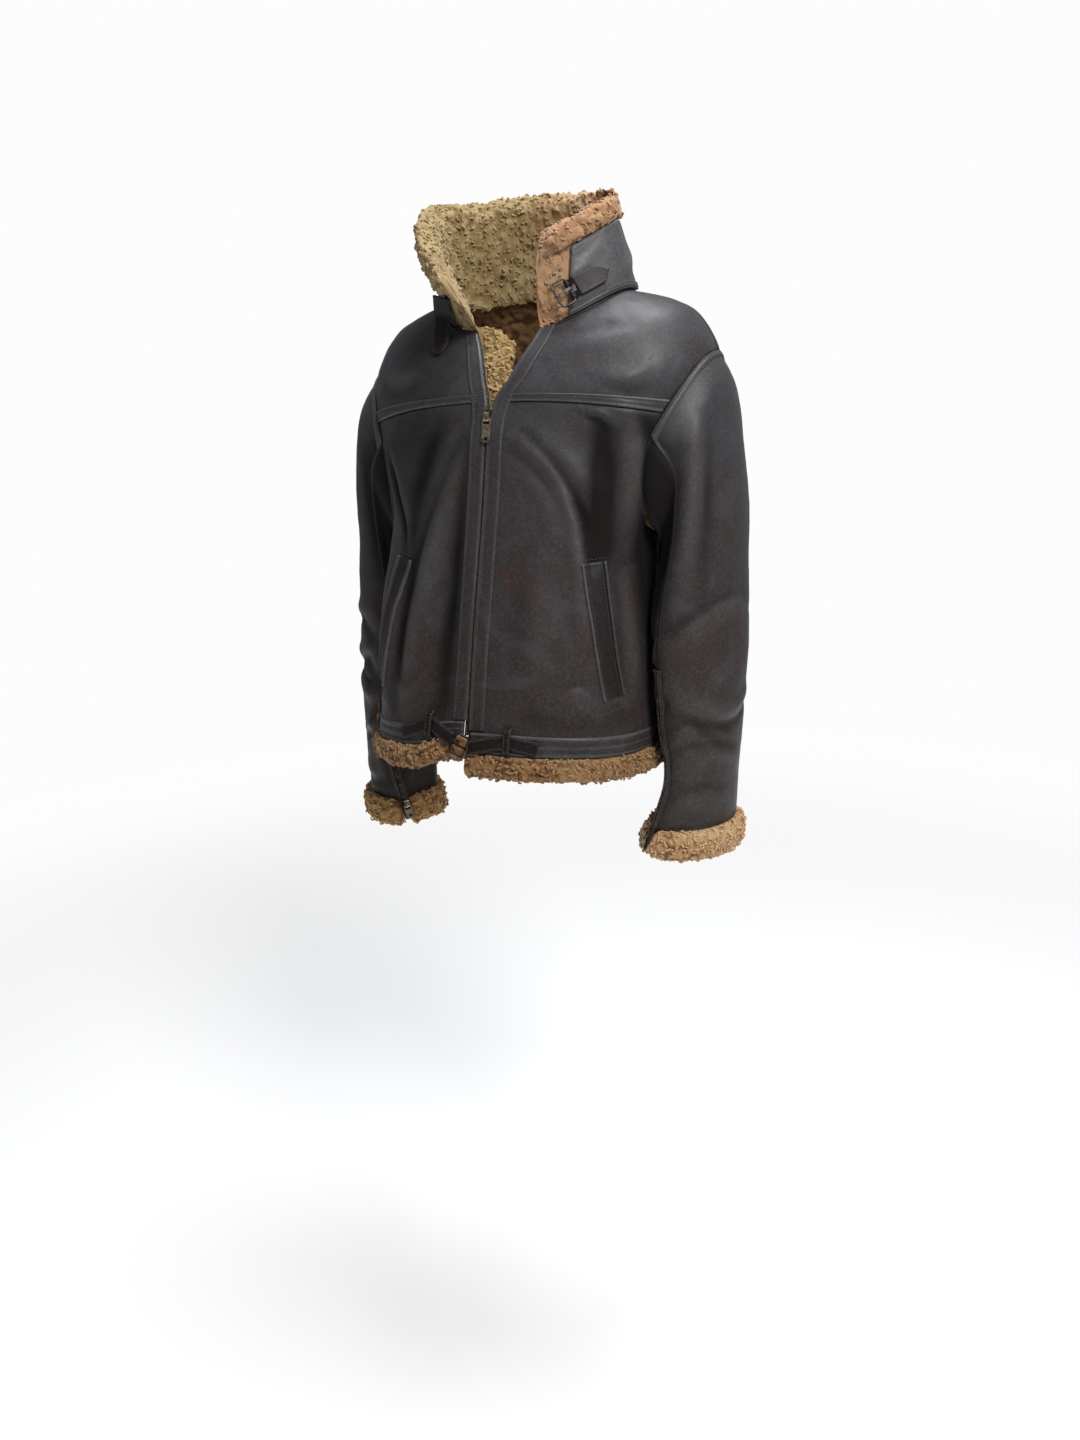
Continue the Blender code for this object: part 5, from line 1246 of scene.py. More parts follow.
# ---------------------------------------------------------------- front zip
bm = bmesh.new()
bmesh.ops.create_cube(bm, size=1)
bmesh.ops.bevel(bm, geom=bm.edges[:], affect="EDGES", offset=0.16, segments=1, profile=0.5, material=-1)
tooth_mesh = mesh_of("tooth", bm)
TOOTH_PITCH, TOOTH_LONG, TOOTH_DEEP = 0.0026, 0.0015, 0.0022


def row_of_teeth(name, line, across, outward, width, shift, finish):
    """Zip teeth along a line, each reaching across towards the other row."""
    length = walked(line)
    at = np.arange(TOOTH_PITCH * (0.5 + shift), length[-1], TOOTH_PITCH)
    rows = (line, np.gradient(line, length, axis=0), outward, across)
    places, ways, outs, reach = (read_off(values, length, at) for values in rows)
    frames = np.stack([unit(reach) * width, unit(ways) * TOOTH_LONG, unit(outs) * TOOTH_DEEP], axis=2)
    return many_of(name, tooth_mesh, places, frames, [finish])


for side, hand in HANDS:
    rows = [front_frame(h, side) for h in np.linspace(0.002, 0.999, 160)]
    edge, across, out = (np.array([row[k] for row in rows]) for k in range(3))
    middle = edge + (SEAM * 2 + ZIP_TEETH / 2) * across - (TEETH_FRONT + TEETH_BACK) / 2 * out
    made = row_of_teeth(f"zip_teeth_{hand}_row", middle, across, out, ZIP_TEETH, 0.25 * (1 + side), TEETH)
    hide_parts(f"zip_teeth_{hand}")

# ---------------------------------------------------------------- sleeves
LATTICE_ALONG = np.linspace(0, 1, 46) ** 1.2
LATTICE_AROUND = np.radians(np.arange(-105, 286, 5.0))
SMOOTHED_BELOW, SMOOTHINGS = 5, 3
beside_tree = surface_of(*(
    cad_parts[name] for name in (
        "front_left", "front_right", "yoke_left", "yoke_right", "back", "hem_band_left", "hem_band_right",
        "hem_band_back", "hem_fleece_left", "hem_fleece_right", "hem_fleece_back",
    )
))
sleeve_forms, sleeve_creases = {}, {}
for side, hand in HANDS:
    form = sleeve_surface(LATTICE_ALONG[:, None], LATTICE_AROUND[None, :], side)
    for _ in range(SMOOTHINGS):
        x = form[..., 0].copy()
        form[SMOOTHED_BELOW:-1, 1:-1, 0] = (
            4 * x[SMOOTHED_BELOW:-1, 1:-1] + x[SMOOTHED_BELOW - 1:-2, 1:-1] + x[SMOOTHED_BELOW + 1:, 1:-1]
            + x[SMOOTHED_BELOW:-1, :-2] + x[SMOOTHED_BELOW:-1, 2:]
        ) / 8
    sleeve_forms[side] = form


STEP_ALONG, STEP_AROUND = 0.004, 0.03


def sleeve_form(side, alongs, arounds):
    """The sleeve with no creases, as a grid of points with normals."""
    def at(down, ahead):
        rows = carried(sleeve_forms[side], LATTICE_ALONG, np.clip(alongs + down, 0, 1), 0)
        return carried(rows, LATTICE_AROUND, arounds + ahead, 1)

    ahead = at(0, STEP_AROUND) - at(0, -STEP_AROUND)
    return at(0, 0), side * unit(np.cross(ahead, at(STEP_ALONG, 0) - at(-STEP_ALONG, 0)))


INNER_ARM = math.radians(112)  # the middle of the painted shade under the arm, at the front


def sleeve_skin(side, alongs, arounds):
    """The leather's face on a sleeve, its normals, and its wear with painted shade in its folds, under the
    arm and over the right sleeve.
    """
    points, out = sleeve_form(side, alongs, arounds)
    lift, wear_and_painted_shade = crease_lift(points, out, sleeve_creases[side])
    calm = np.clip(alongs / 0.10, 0, 1)[:, None] * np.clip((1.02 - alongs) / 0.06, 0, 1)[:, None]
    by_seam = np.ones_like(arounds)
    for seam_at, spread in ((VENT, 0.25), (VENT - math.pi, 0.12), (VENT + math.pi, 0.12)):
        by_seam = by_seam * np.clip(np.abs(arounds - seam_at) / spread, 0, 1)
    calm = calm * (0.25 + 0.75 * by_seam[None, :])
    points = points + (calm * (lift + uneven(points, 5.0 + side)))[..., None] * out
    # painted shade under the arm at the front near the armhole, and over the whole right sleeve, which is
    # turned from the lamps
    armpit_painted_shade = np.exp(-(((arounds - INNER_ARM) / 0.50) ** 2))[None, :]
    below_arm = np.clip(1.5 - alongs / 0.36, 0, 1)[:, None]
    in_shadow = 0.30 if side == RIGHT else 0.0
    return points, out, wear_and_painted_shade * calm - 1.4 * armpit_painted_shade * below_arm - in_shadow


for side, hand in HANDS:
    lines = []
    for route, width, rise, trough in SLEEVE_CREASES[side]:
        around, along = np.array(route, float).T
        stations, at = np.arange(len(around)), np.linspace(0, len(around) - 1, CREASE_STEPS)
        grid, _ = sleeve_form(side, carried(along, stations, at), np.radians(carried(around, stations, at)))
        lines.append((np.array([grid[k, k] for k in range(CREASE_STEPS)]), width, rise, trough))
    sleeve_creases[side] = lines


def leather_where_turned(made, axis):
    """Gives the leather's finish to the faces of wool that a deep fold turns away from the sleeve's axis."""
    faces = made.data.polygons
    centres, facing = np.empty(3 * len(faces)), np.empty(3 * len(faces))
    finishes = np.empty(len(faces), np.int32)
    faces.foreach_get("center", centres)
    faces.foreach_get("normal", facing)
    faces.foreach_get("material_index", finishes)
    centres = centres.reshape(-1, 3)
    nearest = np.abs(centres[:, None, 2] - axis[None, :, 2]).argmin(axis=1)
    turned = np.einsum("ij,ij->i", facing.reshape(-1, 3), centres - axis[nearest]) > 0
    faces.foreach_set("material_index", np.where(turned, 0, finishes).astype(np.int32))


SLEEVE_DOWN, SLEEVE_ACROSS = 128, 52
sleeve_hides = {}
for side, hand in HANDS:
    alongs = np.concatenate([np.linspace(0.0015, 0.10, 18)[:-1], np.linspace(0.10, 1.0, SLEEVE_DOWN - 17)])
    arm_axis = sleeve_form(side, alongs, np.radians(np.arange(-90, 270, 5.0)))[0].mean(axis=1)
    for part, first, last, flat, area in (
        ("upper", -1, 1, (0.330, 0.650), 0.132), ("under", 1, 3, (0.351, 0.555), 0.096),
    ):
        arounds = np.linspace(
            first * math.pi / 2 + HALF_SEAM_ANGLE, last * math.pi / 2 - HALF_SEAM_ANGLE, SLEEVE_ACROSS,
        )
        points, out, wear_and_painted_shade = sleeve_skin(side, alongs, arounds)
        name = f"sleeve_{part}_{hand}"
        sleeve_hides[part, side] = hide(
            name + "_hide", name, points, out, wear_and_painted_shade, 4.0 + side + first, WOOL_IN_SLEEVE
        )
        leather_where_turned(sleeve_hides[part, side], arm_axis)
    over_the_arm = np.linspace(-math.pi / 2, math.pi / 2, 100)
    base, out, _ = sleeve_skin(side, np.linspace(0.0018, 0.0215, BAND_ACROSS), over_the_arm)
    strip(
        f"armhole_tape_{hand}_leather", f"armhole_tape_{hand}",
        base.swapaxes(0, 1)[::-1], out.swapaxes(0, 1)[::-1],
        0.0013, BINDING, ((0.5, 0.09, 0.0006),), (0.20, 0.80), "sleeves",
    )

# ---------------------------------------------------------------- seams
SEAM_ROUND, SEAM_DEEP, SEAM_SIDES = 0.0017, 0.0019, 8


def seam(name, line, outward):
    """The turned edges of two hides where they're sewn together, seen down in the seam."""
    middle = line - SEAM_DEEP * outward
    across = unit(np.cross(np.gradient(line, axis=0), outward))
    angles = np.linspace(0, 2 * math.pi, SEAM_SIDES, endpoint=False)[None, :, None]
    spokes = np.cos(angles) * across[:, None] + np.sin(angles) * outward[:, None]
    rings = middle[:, None] + SEAM_ROUND * spokes
    made = round_piece(name, rings, [WELT], [("wear_and_painted_shade", np.zeros(rings.shape[:2]))])


ROUND_ARM = np.radians(np.linspace(-90, 270, 181))
for side, hand in HANDS:
    for word, heights in (
        ("side", np.linspace(0.002, ARMPIT, 80)), ("shoulder", np.linspace(SHOULDER_TIP, 0.998, 60)),
    ):
        points, out, _ = skin(heights, np.array([side * side_front(h) for h in heights]))
        seam(f"{word}_seam_{hand}", points, out)
    points, out, _ = sleeve_skin(side, np.array([0.0006]), ROUND_ARM)
    seam(f"armhole_seam_{hand}", points[0], out[0])
    for word, around in (("front", math.pi / 2), ("rear", 1.5 * math.pi)):
        points, out, _ = sleeve_skin(side, np.linspace(0.002, 0.998, 120), np.array([around]))
        seam(f"sleeve_seam_{word}_{hand}", points[:, 0], out[:, 0])
around_neck = np.linspace(front_edge(1.0) + 0.02, 2 * math.pi - front_edge(1.0) - 0.02, 160)
points, out, _ = skin(0.9975, around_neck)
seam("neck_seam", points + 0.0012 * out, out)

# ---------------------------------------------------------------- collar leather
COLLAR_ALONG, COLLAR_UP = 200, 36
COLLAR_CREASES = (
    # places as (along, share); then width, rise and trough
    (((0.93, 0.62), (0.86, 0.60), (0.78, 0.66)), 0.006, 0.0014, 1.5),
    (((0.90, 0.78), (0.82, 0.74), (0.72, 0.80)), 0.007, 0.0014, -1.5),
    (((0.95, 0.20), (0.84, 0.24), (0.70, 0.20)), 0.008, 0.0014, 1.5),
    (((0.60, 0.30), (0.45, 0.50), (0.30, 0.45)), 0.012, 0.0020, 1.5),
    (((0.20, 0.60), (0.00, 0.50), (-0.20, 0.62)), 0.012, 0.0020, -1.5),
    (((-0.30, 0.35), (-0.50, 0.50), (-0.66, 0.40)), 0.011, 0.0020, 1.5),
)


def on_the_collar(route):
    """A listed route on the collar as a smooth line of points."""
    along, share = np.array(route, float).T
    stations, at = np.arange(len(along)), np.linspace(0, len(along) - 1, CREASE_STEPS)
    places = zip(carried(along, stations, at), carried(share, stations, at))
    return np.array([collar_point(np.array(a), s, 0.0, COLLAR_LEATHER) for a, s in places])


FOOT_REACH = 0.11  # the share of the collar's height that its foot takes up


def collar_rows(alongs, shares, out):
    """A grid on the collar, with its foot raised over the neck's seam."""
    raised = [FOOT_GAP * (1 - share / FOOT_REACH) if share < FOOT_REACH else 0.0 for share in shares]
    return np.array([collar_point(alongs, share, up, out) for share, up in zip(shares, raised)])


def collar_skin(alongs, shares):
    """The collar leather's outer face as a grid with a row for each share of its height."""
    points = collar_rows(alongs, shares, SEAM + COLLAR_LEATHER)
    out = np.array([collar_outward(alongs, s) for s in shares])
    lift, wear_and_painted_shade = crease_lift(points, out, [(on_the_collar(r), w, h, t) for r, w, h, t in COLLAR_CREASES])
    lift = lift + 0.5 * uneven(points, 11.0)
    calm = np.clip(np.array(shares) / 0.14, 0, 1)[:, None]
    return points + (calm * lift)[..., None] * out, out, wear_and_painted_shade * calm


alongs, shares = np.linspace(-LEATHER_END, LEATHER_END, COLLAR_ALONG), np.linspace(0, 1, COLLAR_UP)
points, out, wear_and_painted_shade = collar_skin(alongs, shares)
edge = from_edges(points)
outer = points - (0.0012 * np.exp(-((edge / 0.002) ** 2)))[..., None] * out
inner = collar_rows(alongs, shares, SEAM)
wear_and_painted_shade = np.clip(wear_and_painted_shade + np.exp(-((edge / 0.003) ** 2)), -1, 1)
marks = [("wear_and_painted_shade", wear_and_painted_shade, np.zeros_like(wear_and_painted_shade))]
collar_leather = closed_sheet("collar_leather", outer, inner, [COLLAR_HIDE], marks)
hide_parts("collar")
collar_tree = surface_of(collar_leather)
points, out, _ = collar_skin(alongs, np.linspace(0.0, FOOT_REACH, BAND_ACROSS))
strip(
    "collar_tape_leather", "collar_tape", points.swapaxes(0, 1), out.swapaxes(0, 1), 0.0014, BINDING,
    ((0.5, 0.12, 0.0005),), (0.20, 0.80), "collar",
)

# ---------------------------------------------------------------- wool
def lock_of_wool():
    """A small curled lock: a tapered stalk that bends over, marked high towards its tip and low at its root,
    where the wool's painted shade falls.
    """
    bm = bmesh.new()
    tip = bm.verts.layers.float.new("tip")
    bmesh.ops.create_circle(bm, cap_ends=True, segments=5, radius=0.34)
    face = next(iter(bm.faces))
    for vert in bm.verts:
        vert[tip] = LOCK_TIPS[0]
    heading = 0.0
    for shade, turn, size in zip(LOCK_TIPS[1:], LOCK_TURNS, LOCK_SIZES):
        face = bmesh.ops.extrude_discrete_faces(bm, faces=[face])["faces"][0]
        heading += turn
        way = Vector((math.sin(heading), 0.12, math.cos(heading))) * LOCK_STEP
        bmesh.ops.translate(bm, verts=face.verts, vec=way)
        middle = face.calc_center_median()
        turned = Matrix.Rotation(turn, 4, "Y") @ Matrix.Scale(size, 4)
        turned = Matrix.Translation(middle) @ turned @ Matrix.Translation(-middle)
        bmesh.ops.transform(bm, matrix=turned, verts=face.verts)
        for vert in face.verts:
            vert[tip] = shade
    bmesh.ops.translate(bm, verts=bm.verts[:], vec=(-0.25, 0, -0.3))
    return mesh_of("lock", bm)


# a lock's marks from root to tip; the low root takes some of the wool's painted shade
LOCK_TIPS = (0.35, 0.55, 0.78, 0.95, 0.90, 0.75)
LOCK_TURNS = (0.15, 0.55, 0.75, 0.85, 0.9)
LOCK_SIZES = (1.0, 0.96, 0.9, 0.8, 0.6)
LOCK_STEP = 0.42
lock_mesh = lock_of_wool()


def spread_out(points, spacing, seed):
    """An even choice of places, one for each cell of the given spacing, in a fixed order."""
    order = np.random.default_rng(seed).permutation(len(points))
    cells = np.floor(points[order] / spacing).astype(int)
    _, first = np.unique(cells, axis=0, return_index=True)
    return order[np.sort(first)]


def locks_on(name, points, out, spacing, height, seed, finish):
    """Curled locks of wool standing on a surface, leaning every way."""
    rng = np.random.default_rng(seed)
    chosen = spread_out(points, spacing, seed)
    places, up = points[chosen], out[chosen]
    lean = unit(up + 0.35 * rng.normal(size=up.shape))
    side_way = unit(np.cross(lean, rng.normal(size=up.shape)))
    size = height * rng.uniform(0.75, 1.3, len(chosen))[:, None]
    frames = np.stack([side_way * size, np.cross(lean, side_way) * size, lean * size * 0.9], axis=2)
    made = many_of(name, lock_mesh, places, frames, [finish], ("tip",))
    return made


CAP_SIZES = (0.93, 0.75, 0.45)  # the rings that round out a roll's end


def roll_of_wool(
    name, node, sections, finish, along, around, curl, size, seed, locks, calm, ends, beyond=2.0,
):
    """A roll of fleece through plain sections, raised into curls, with locks standing on it.

    Calm is the range of section points that lie against the leather, where the wool is flat, up to the
    share beyond of the roll's length to each side. Ends is how far the two ends are rounded out.
    """
    sections = np.asarray(sections, float)
    count = sections.shape[1]
    looped = np.concatenate([sections[:, -2:], sections, sections[:, :2]], axis=1)
    at = np.linspace(0, count, around, endpoint=False)
    rings = carried(looped, np.arange(-2, count + 2), at, axis=1)
    middles = rings.mean(axis=1)
    rings = carried(rings, walked(middles), np.linspace(0, walked(middles)[-1], along))
    middles = rings.mean(axis=1)
    around_way = np.roll(rings, -1, axis=1) - np.roll(rings, 1, axis=1)
    out = unit(np.cross(np.gradient(rings, axis=0), around_way))
    if np.einsum("ijk,ijk->", out, rings - middles[:, None]) < 0:
        out = -out
    free = np.clip(np.minimum(np.abs(at - calm[0]), np.abs(at - calm[1])), 0, 1)
    free = np.where((at > calm[0]) & (at < calm[1]), 0.0, free)[None, :]
    past = np.linspace(-1, 1, along)[:, None]
    free = np.clip(free + np.clip((np.abs(past) - beyond) / 0.03, 0, 1), 0, 1)
    top = curls(rings, size, seed)
    soft = 0.4 * ripple(rings, 5 * size, seed)
    rings = rings + (curl * (top - 0.45 + soft) * free)[..., None] * out
    caps = []
    for end, ahead, reach in (
        (0, -unit(middles[1] - middles[0]), ends[0]), (-1, unit(middles[-1] - middles[-2]), ends[1]),
    ):
        ring, middle = rings[end], rings[end].mean(axis=0)
        caps.append([
            middle + (ring - middle) * shrink + reach * math.sqrt(1 - shrink**2) * ahead
            for shrink in CAP_SIZES
        ])
    whole = np.concatenate([np.array(caps[0][::-1]), rings, np.array(caps[1])])
    top = np.concatenate([np.repeat(top[:1], 3, axis=0), top, np.repeat(top[-1:], 3, axis=0)])
    # the curls' mark is low in their hollows, where the wool's painted shade falls
    made = round_piece(name, whole, [finish], [("tip", top)])
    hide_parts(node)
    spacing, height = locks
    open_wool = free > 0.6
    roots = (rings - 0.0008 * out)[open_wool]
    return locks_on(name + "_locks", roots, out[open_wool], spacing, height, seed + 100, finish)


HEM_WOOL = (
    # down from the hem and out from the leather's face
    (0.0004, -0.0080), (0.0004, 0.0010), (0.0030, 0.0055), (0.0120, 0.0080), (0.0240, 0.0070),
    (0.0300, 0.0010), (0.0300, -0.0070), (0.0230, -0.0140), (0.0100, -0.0160), (0.0020, -0.0130),
)
for name, start, end, steps, seed in (
    ("left", front_edge, side_front, 120, 21),
    ("right", lambda h: -front_edge(h), lambda h: -side_front(h), 120, 22),
    ("back", side_back, lambda h: 2 * math.pi - side_back(h), 200, 23),
):
    turns = turns_across([0.0, 0.03], start, end, 40)
    edge, out, _ = skin(0.0, turns[0])
    above = skin(0.03, turns[1])[0]
    down = unit(edge - above)
    sections = [[e + a * d + b * n for a, b in HEM_WOOL] for e, d, n in zip(edge, down, out)]
    roll_of_wool(
        f"hem_fleece_{name}_wool", f"hem_fleece_{name}", sections, LOWER_WOOL,
        steps, 42, 0.0036, 0.0090, seed, (0.0076, 0.0046),
        calm=(-0.5, 0.8), ends=(0.001 if name == "back" else 0.0080, 0.001),
    )

CUFF_WOOL = (
    (0.0009, -0.0080), (0.0009, 0.0020), (0.0016, 0.0070), (0.0100, 0.0110), (0.0300, 0.0110),
    (0.0395, 0.0065), (0.0420, -0.0030), (0.0380, -0.0120), (0.0200, -0.0150), (0.0040, -0.0130),
)
for side, hand in HANDS:
    # from 18 degrees past the vent, round the back, to 18 degrees before it
    arounds = np.radians(np.concatenate([np.linspace(108, 268, 24), np.linspace(-88, 72, 24)]))
    grid, out = sleeve_form(side, np.array([0.97, 0.9999]), arounds)
    down = unit(grid[1] - grid[0])
    sections = [[e + a * d + b * n for a, b in CUFF_WOOL] for e, d, n in zip(grid[1], down, out[1])]
    roll_of_wool(
        f"cuff_fleece_{hand}_wool", f"cuff_fleece_{hand}", sections, CUFF_WOOL_FINISH,
        150, 50, 0.0040, 0.0090, 31 + side, (0.0074, 0.0046), calm=(-0.5, 0.8), ends=(0.008, 0.008),
    )

FLAP_RAISED = 1.7  # the flap's soft top stands higher than its plain form
sections = []
for station in np.linspace(0, 1, 24):
    shape = {key: float(value) for key, value in smooth_table(FLAP, FLAP_COLUMNS, station).items()}
    reach, drop = shape["reach"], shape["drop"]
    edge, across, out = front_frame(shape["height"], RIGHT)
    edge = edge + np.array([0.0, 0.0, FLAP_RAISED * shape["up"]])
    section = (
        (-FLAP_TUCK, drop), (0.0, drop), (reach * 0.7, drop), (reach, drop + 0.004),
        (reach, drop + FLAP_THICK - 0.003), (reach * 0.7, drop + FLAP_THICK),
        (-FLAP_TUCK, drop + FLAP_THICK - 0.004),
    )
    sections.append([edge + a * across - b * out for a, b in section])
roll_of_wool(
    "wind_flap_wool", "wind_flap", sections, FLAP_WOOL, 90, 46, 0.0030, 0.0080, 41, (0.0074, 0.0044),
    calm=(-0.5, 0.6), ends=(0.002, 0.006),
)

WOOL_MIDDLE, END_SQUEEZE = -0.004, 0.45
WOOL_FOOT = 0.009  # how far the wool inside the neck covers the seam
near_end = -1.0 + (1 - LEATHER_END) * 0.35
sections = []
for along in np.concatenate([[-1.0, near_end], np.linspace(-LEATHER_END, LEATHER_END, 60), [-near_end, 1.0]]):
    squeeze = END_SQUEEZE if abs(along) == 1.0 else 1.0
    depth = float(smooth_table(COLLAR, COLLAR_COLUMNS, along)["wool"])
    sections.append([
        collar_point(
            np.array(along), share, up - (WOOL_FOOT if share == 0 and out < -0.01 else 0.0),
            WOOL_MIDDLE + (out * (depth if k >= WOOL_NOTCH else 1.0) - WOOL_MIDDLE) * squeeze,
        )
        for k, (share, up, out) in enumerate(WOOL)
    ])
roll_of_wool(
    "collar_fleece_wool", "collar_fleece", sections, COLLAR_WOOL,
    290, 122, 0.0052, 0.0130, 51, (0.0088, 0.0040),
    calm=(0.0, 5.6), ends=(0.009, 0.009), beyond=LEATHER_END + 0.01,
)

# ---------------------------------------------------------------- pockets
POCKETS = (
    # turns in degrees, heights on the cape
    (LEFT, 43.5, 0.285, 56.5, 0.092),
    (RIGHT, 38, 0.285, 50, 0.092),
)
WELT_HALF, WELT_THICK = 0.0130, 0.0014
PIPING_HALF, PIPING_THICK = 0.0020, 0.0034
PIPING_RIBS = ((0.5, 0.5, 0.0),)  # no ribs, but worn along the whole piping
POCKET_STEPS = 64
FOOT_ROWS = (0.003, 0.0065, 0.010)


def stitched_row(first, last, outward):
    """A row of stitches on the front's leather, from one place to another."""
    run = np.linspace(first, last, 24)
    normals = np.repeat(outward[None], 24, axis=0)
    stitch("front", laid(hide_tree, run, normals), normals, 0.0003)


for side, turn_top, height_top, turn_foot, height_foot in POCKETS:
    hand = dict(HANDS)[side]
    turn = side * np.radians(np.linspace(turn_top, turn_foot, POCKET_STEPS))
    height = np.linspace(height_top, height_foot, POCKET_STEPS)
    line, outward = cape(height, turn), cape_normal(height, turn)
    across = unit(np.cross(np.gradient(line, axis=0), outward))
    for name, offset, half, thick, finish, ribs, rows in (
        ("welt", 0.0, WELT_HALF, WELT_THICK, WELT, (), (0.10, 0.90)),
        ("piping_front", side, PIPING_HALF, PIPING_THICK, BINDING, PIPING_RIBS, ()),
        ("piping_rear", -side, PIPING_HALF, PIPING_THICK, STRIP_LEATHER, PIPING_RIBS, ()),
    ):
        middle = line + offset * (WELT_HALF + PIPING_HALF + SEAM) * across
        columns = np.linspace(-half, half, 11 if half < 0.005 else 13)
        grid = middle[:, None] + columns[None, :, None] * across[:, None]
        normals = np.repeat(outward[:, None], len(columns), axis=1)
        base = laid(hide_tree, grid, normals)
        strip(
            f"pocket_{name}_{hand}_leather", f"pocket_{name}_{hand}", base, normals, thick, finish,
            ribs, rows, "front", sink=0.0006,
        )
    # rows of stitches at the pocket's head, and a stitched patch that flares at its foot
    way, aside = unit(line[-1] - line[-8]), across[-1]
    reach = WELT_HALF + 2 * PIPING_HALF
    for down in FOOT_ROWS:
        middle = line[-1] + down * way
        stitched_row(middle - reach * aside, middle + reach * aside, outward[-1])
    flare = [
        line[-1] + 0.004 * way - (reach + 0.001) * aside,
        line[-1] + 0.016 * way - (reach + 0.006) * aside,
        line[-1] + 0.017 * way + (reach + 0.002) * aside,
        line[-1] + 0.004 * way + (reach + 0.001) * aside,
    ]
    for first, last in zip(flare[:-1], flare[1:]):
        stitched_row(first, last, outward[-1])
    middle = line[0] - 0.004 * way
    stitched_row(middle - reach * across[0], middle + reach * across[0], outward[0])

# ---------------------------------------------------------------- hem strap, loops and its fastened buckle
STRAP_HALF, STRAP_THICK = 0.0095, 0.0020
STRAP_COLUMNS = ("turn", "height", "lift")
HEM_STRAPS = {
    # turns in degrees, to the wearer's left; heights on the cape; lift off the leather
    "right": (
        (-25, 0.020, 0.0025), (-18, 0.027, 0.0030), (-11, 0.032, 0.0040), (-6, 0.014, 0.0080),
        (-1.6, -0.010, 0.0105),
    ),
    "left": (
        (22, 0.014, 0.0025), (17, 0.018, 0.0030), (11.5, 0.022, 0.0040), (6, 0.018, 0.0070),
        (0.9, 0.010, 0.0100),
    ),
}


def free_cape(height, turn):
    """The cape carried on below the hem."""
    below = np.clip(-np.asarray(height), 0, None)[..., None]
    edge, above = cape(np.clip(height, 0, 1), turn), cape(np.full_like(turn, 0.02), turn)
    return edge + (cape(np.full_like(turn, 0.0), turn) - above) / 0.02 * below


for hand, stations in HEM_STRAPS.items():
    stations = np.array(stations, float)
    table = np.column_stack([np.linspace(0, 1, len(stations)), stations])
    found = smooth_table(table, ("t",) + STRAP_COLUMNS, np.linspace(0, 1, 60))
    turn = np.radians(found["turn"])
    out = cape_normal(np.clip(found["height"], 0, 1), turn)
    path = free_cape(found["height"], turn) + found["lift"][:, None] * out
    across = unit(np.cross(np.gradient(path, axis=0), out))
    halves = np.full(len(path), STRAP_HALF)
    strap(
        f"hem_strap_{hand}_leather", f"hem_strap_{hand}", path, across, out, halves,
        STRAP_THICK, STRAPS, "straps",
    )

LOOP_HALF, LOOP_REACH = 0.0050, 0.0190
LOOPS = {"right": (-11.0, 0.031, 0.0040), "left": (11.5, 0.022, 0.0044)}
for hand, (turn, height, lift) in LOOPS.items():
    turn = np.array([math.radians(turn)])
    middle, out = cape(np.array([height]), turn)[0], cape_normal(np.array([height]), turn)[0]
    up = unit(cape(np.array([height + 0.02]), turn)[0] - middle)
    across = np.cross(up, out)
    crown = lift + STRAP_THICK + 0.0008
    rows = np.array([
        (-1.0, 0.0024), (-0.86, 0.0034), (-0.68, crown), (0.0, crown + 0.0004), (0.68, crown), (0.86, 0.0034),
        (1.0, 0.0024),
    ])
    line = middle + rows[:, :1] * LOOP_REACH * up + rows[:, 1:] * out
    line, rise = finer(line, 34, np.repeat(out[None], len(rows), axis=0))
    facing = unit(np.cross(across[None], np.gradient(line, axis=0)))
    facing = np.where((facing @ out < 0)[:, None], -facing, facing)
    strap(
        f"strap_loop_{hand}_leather", f"strap_loop_{hand}", line, np.repeat(across[None], 34, axis=0), facing,
        np.full(34, LOOP_HALF), 0.0018, STRAPS, "straps", margin=0.0018,
    )

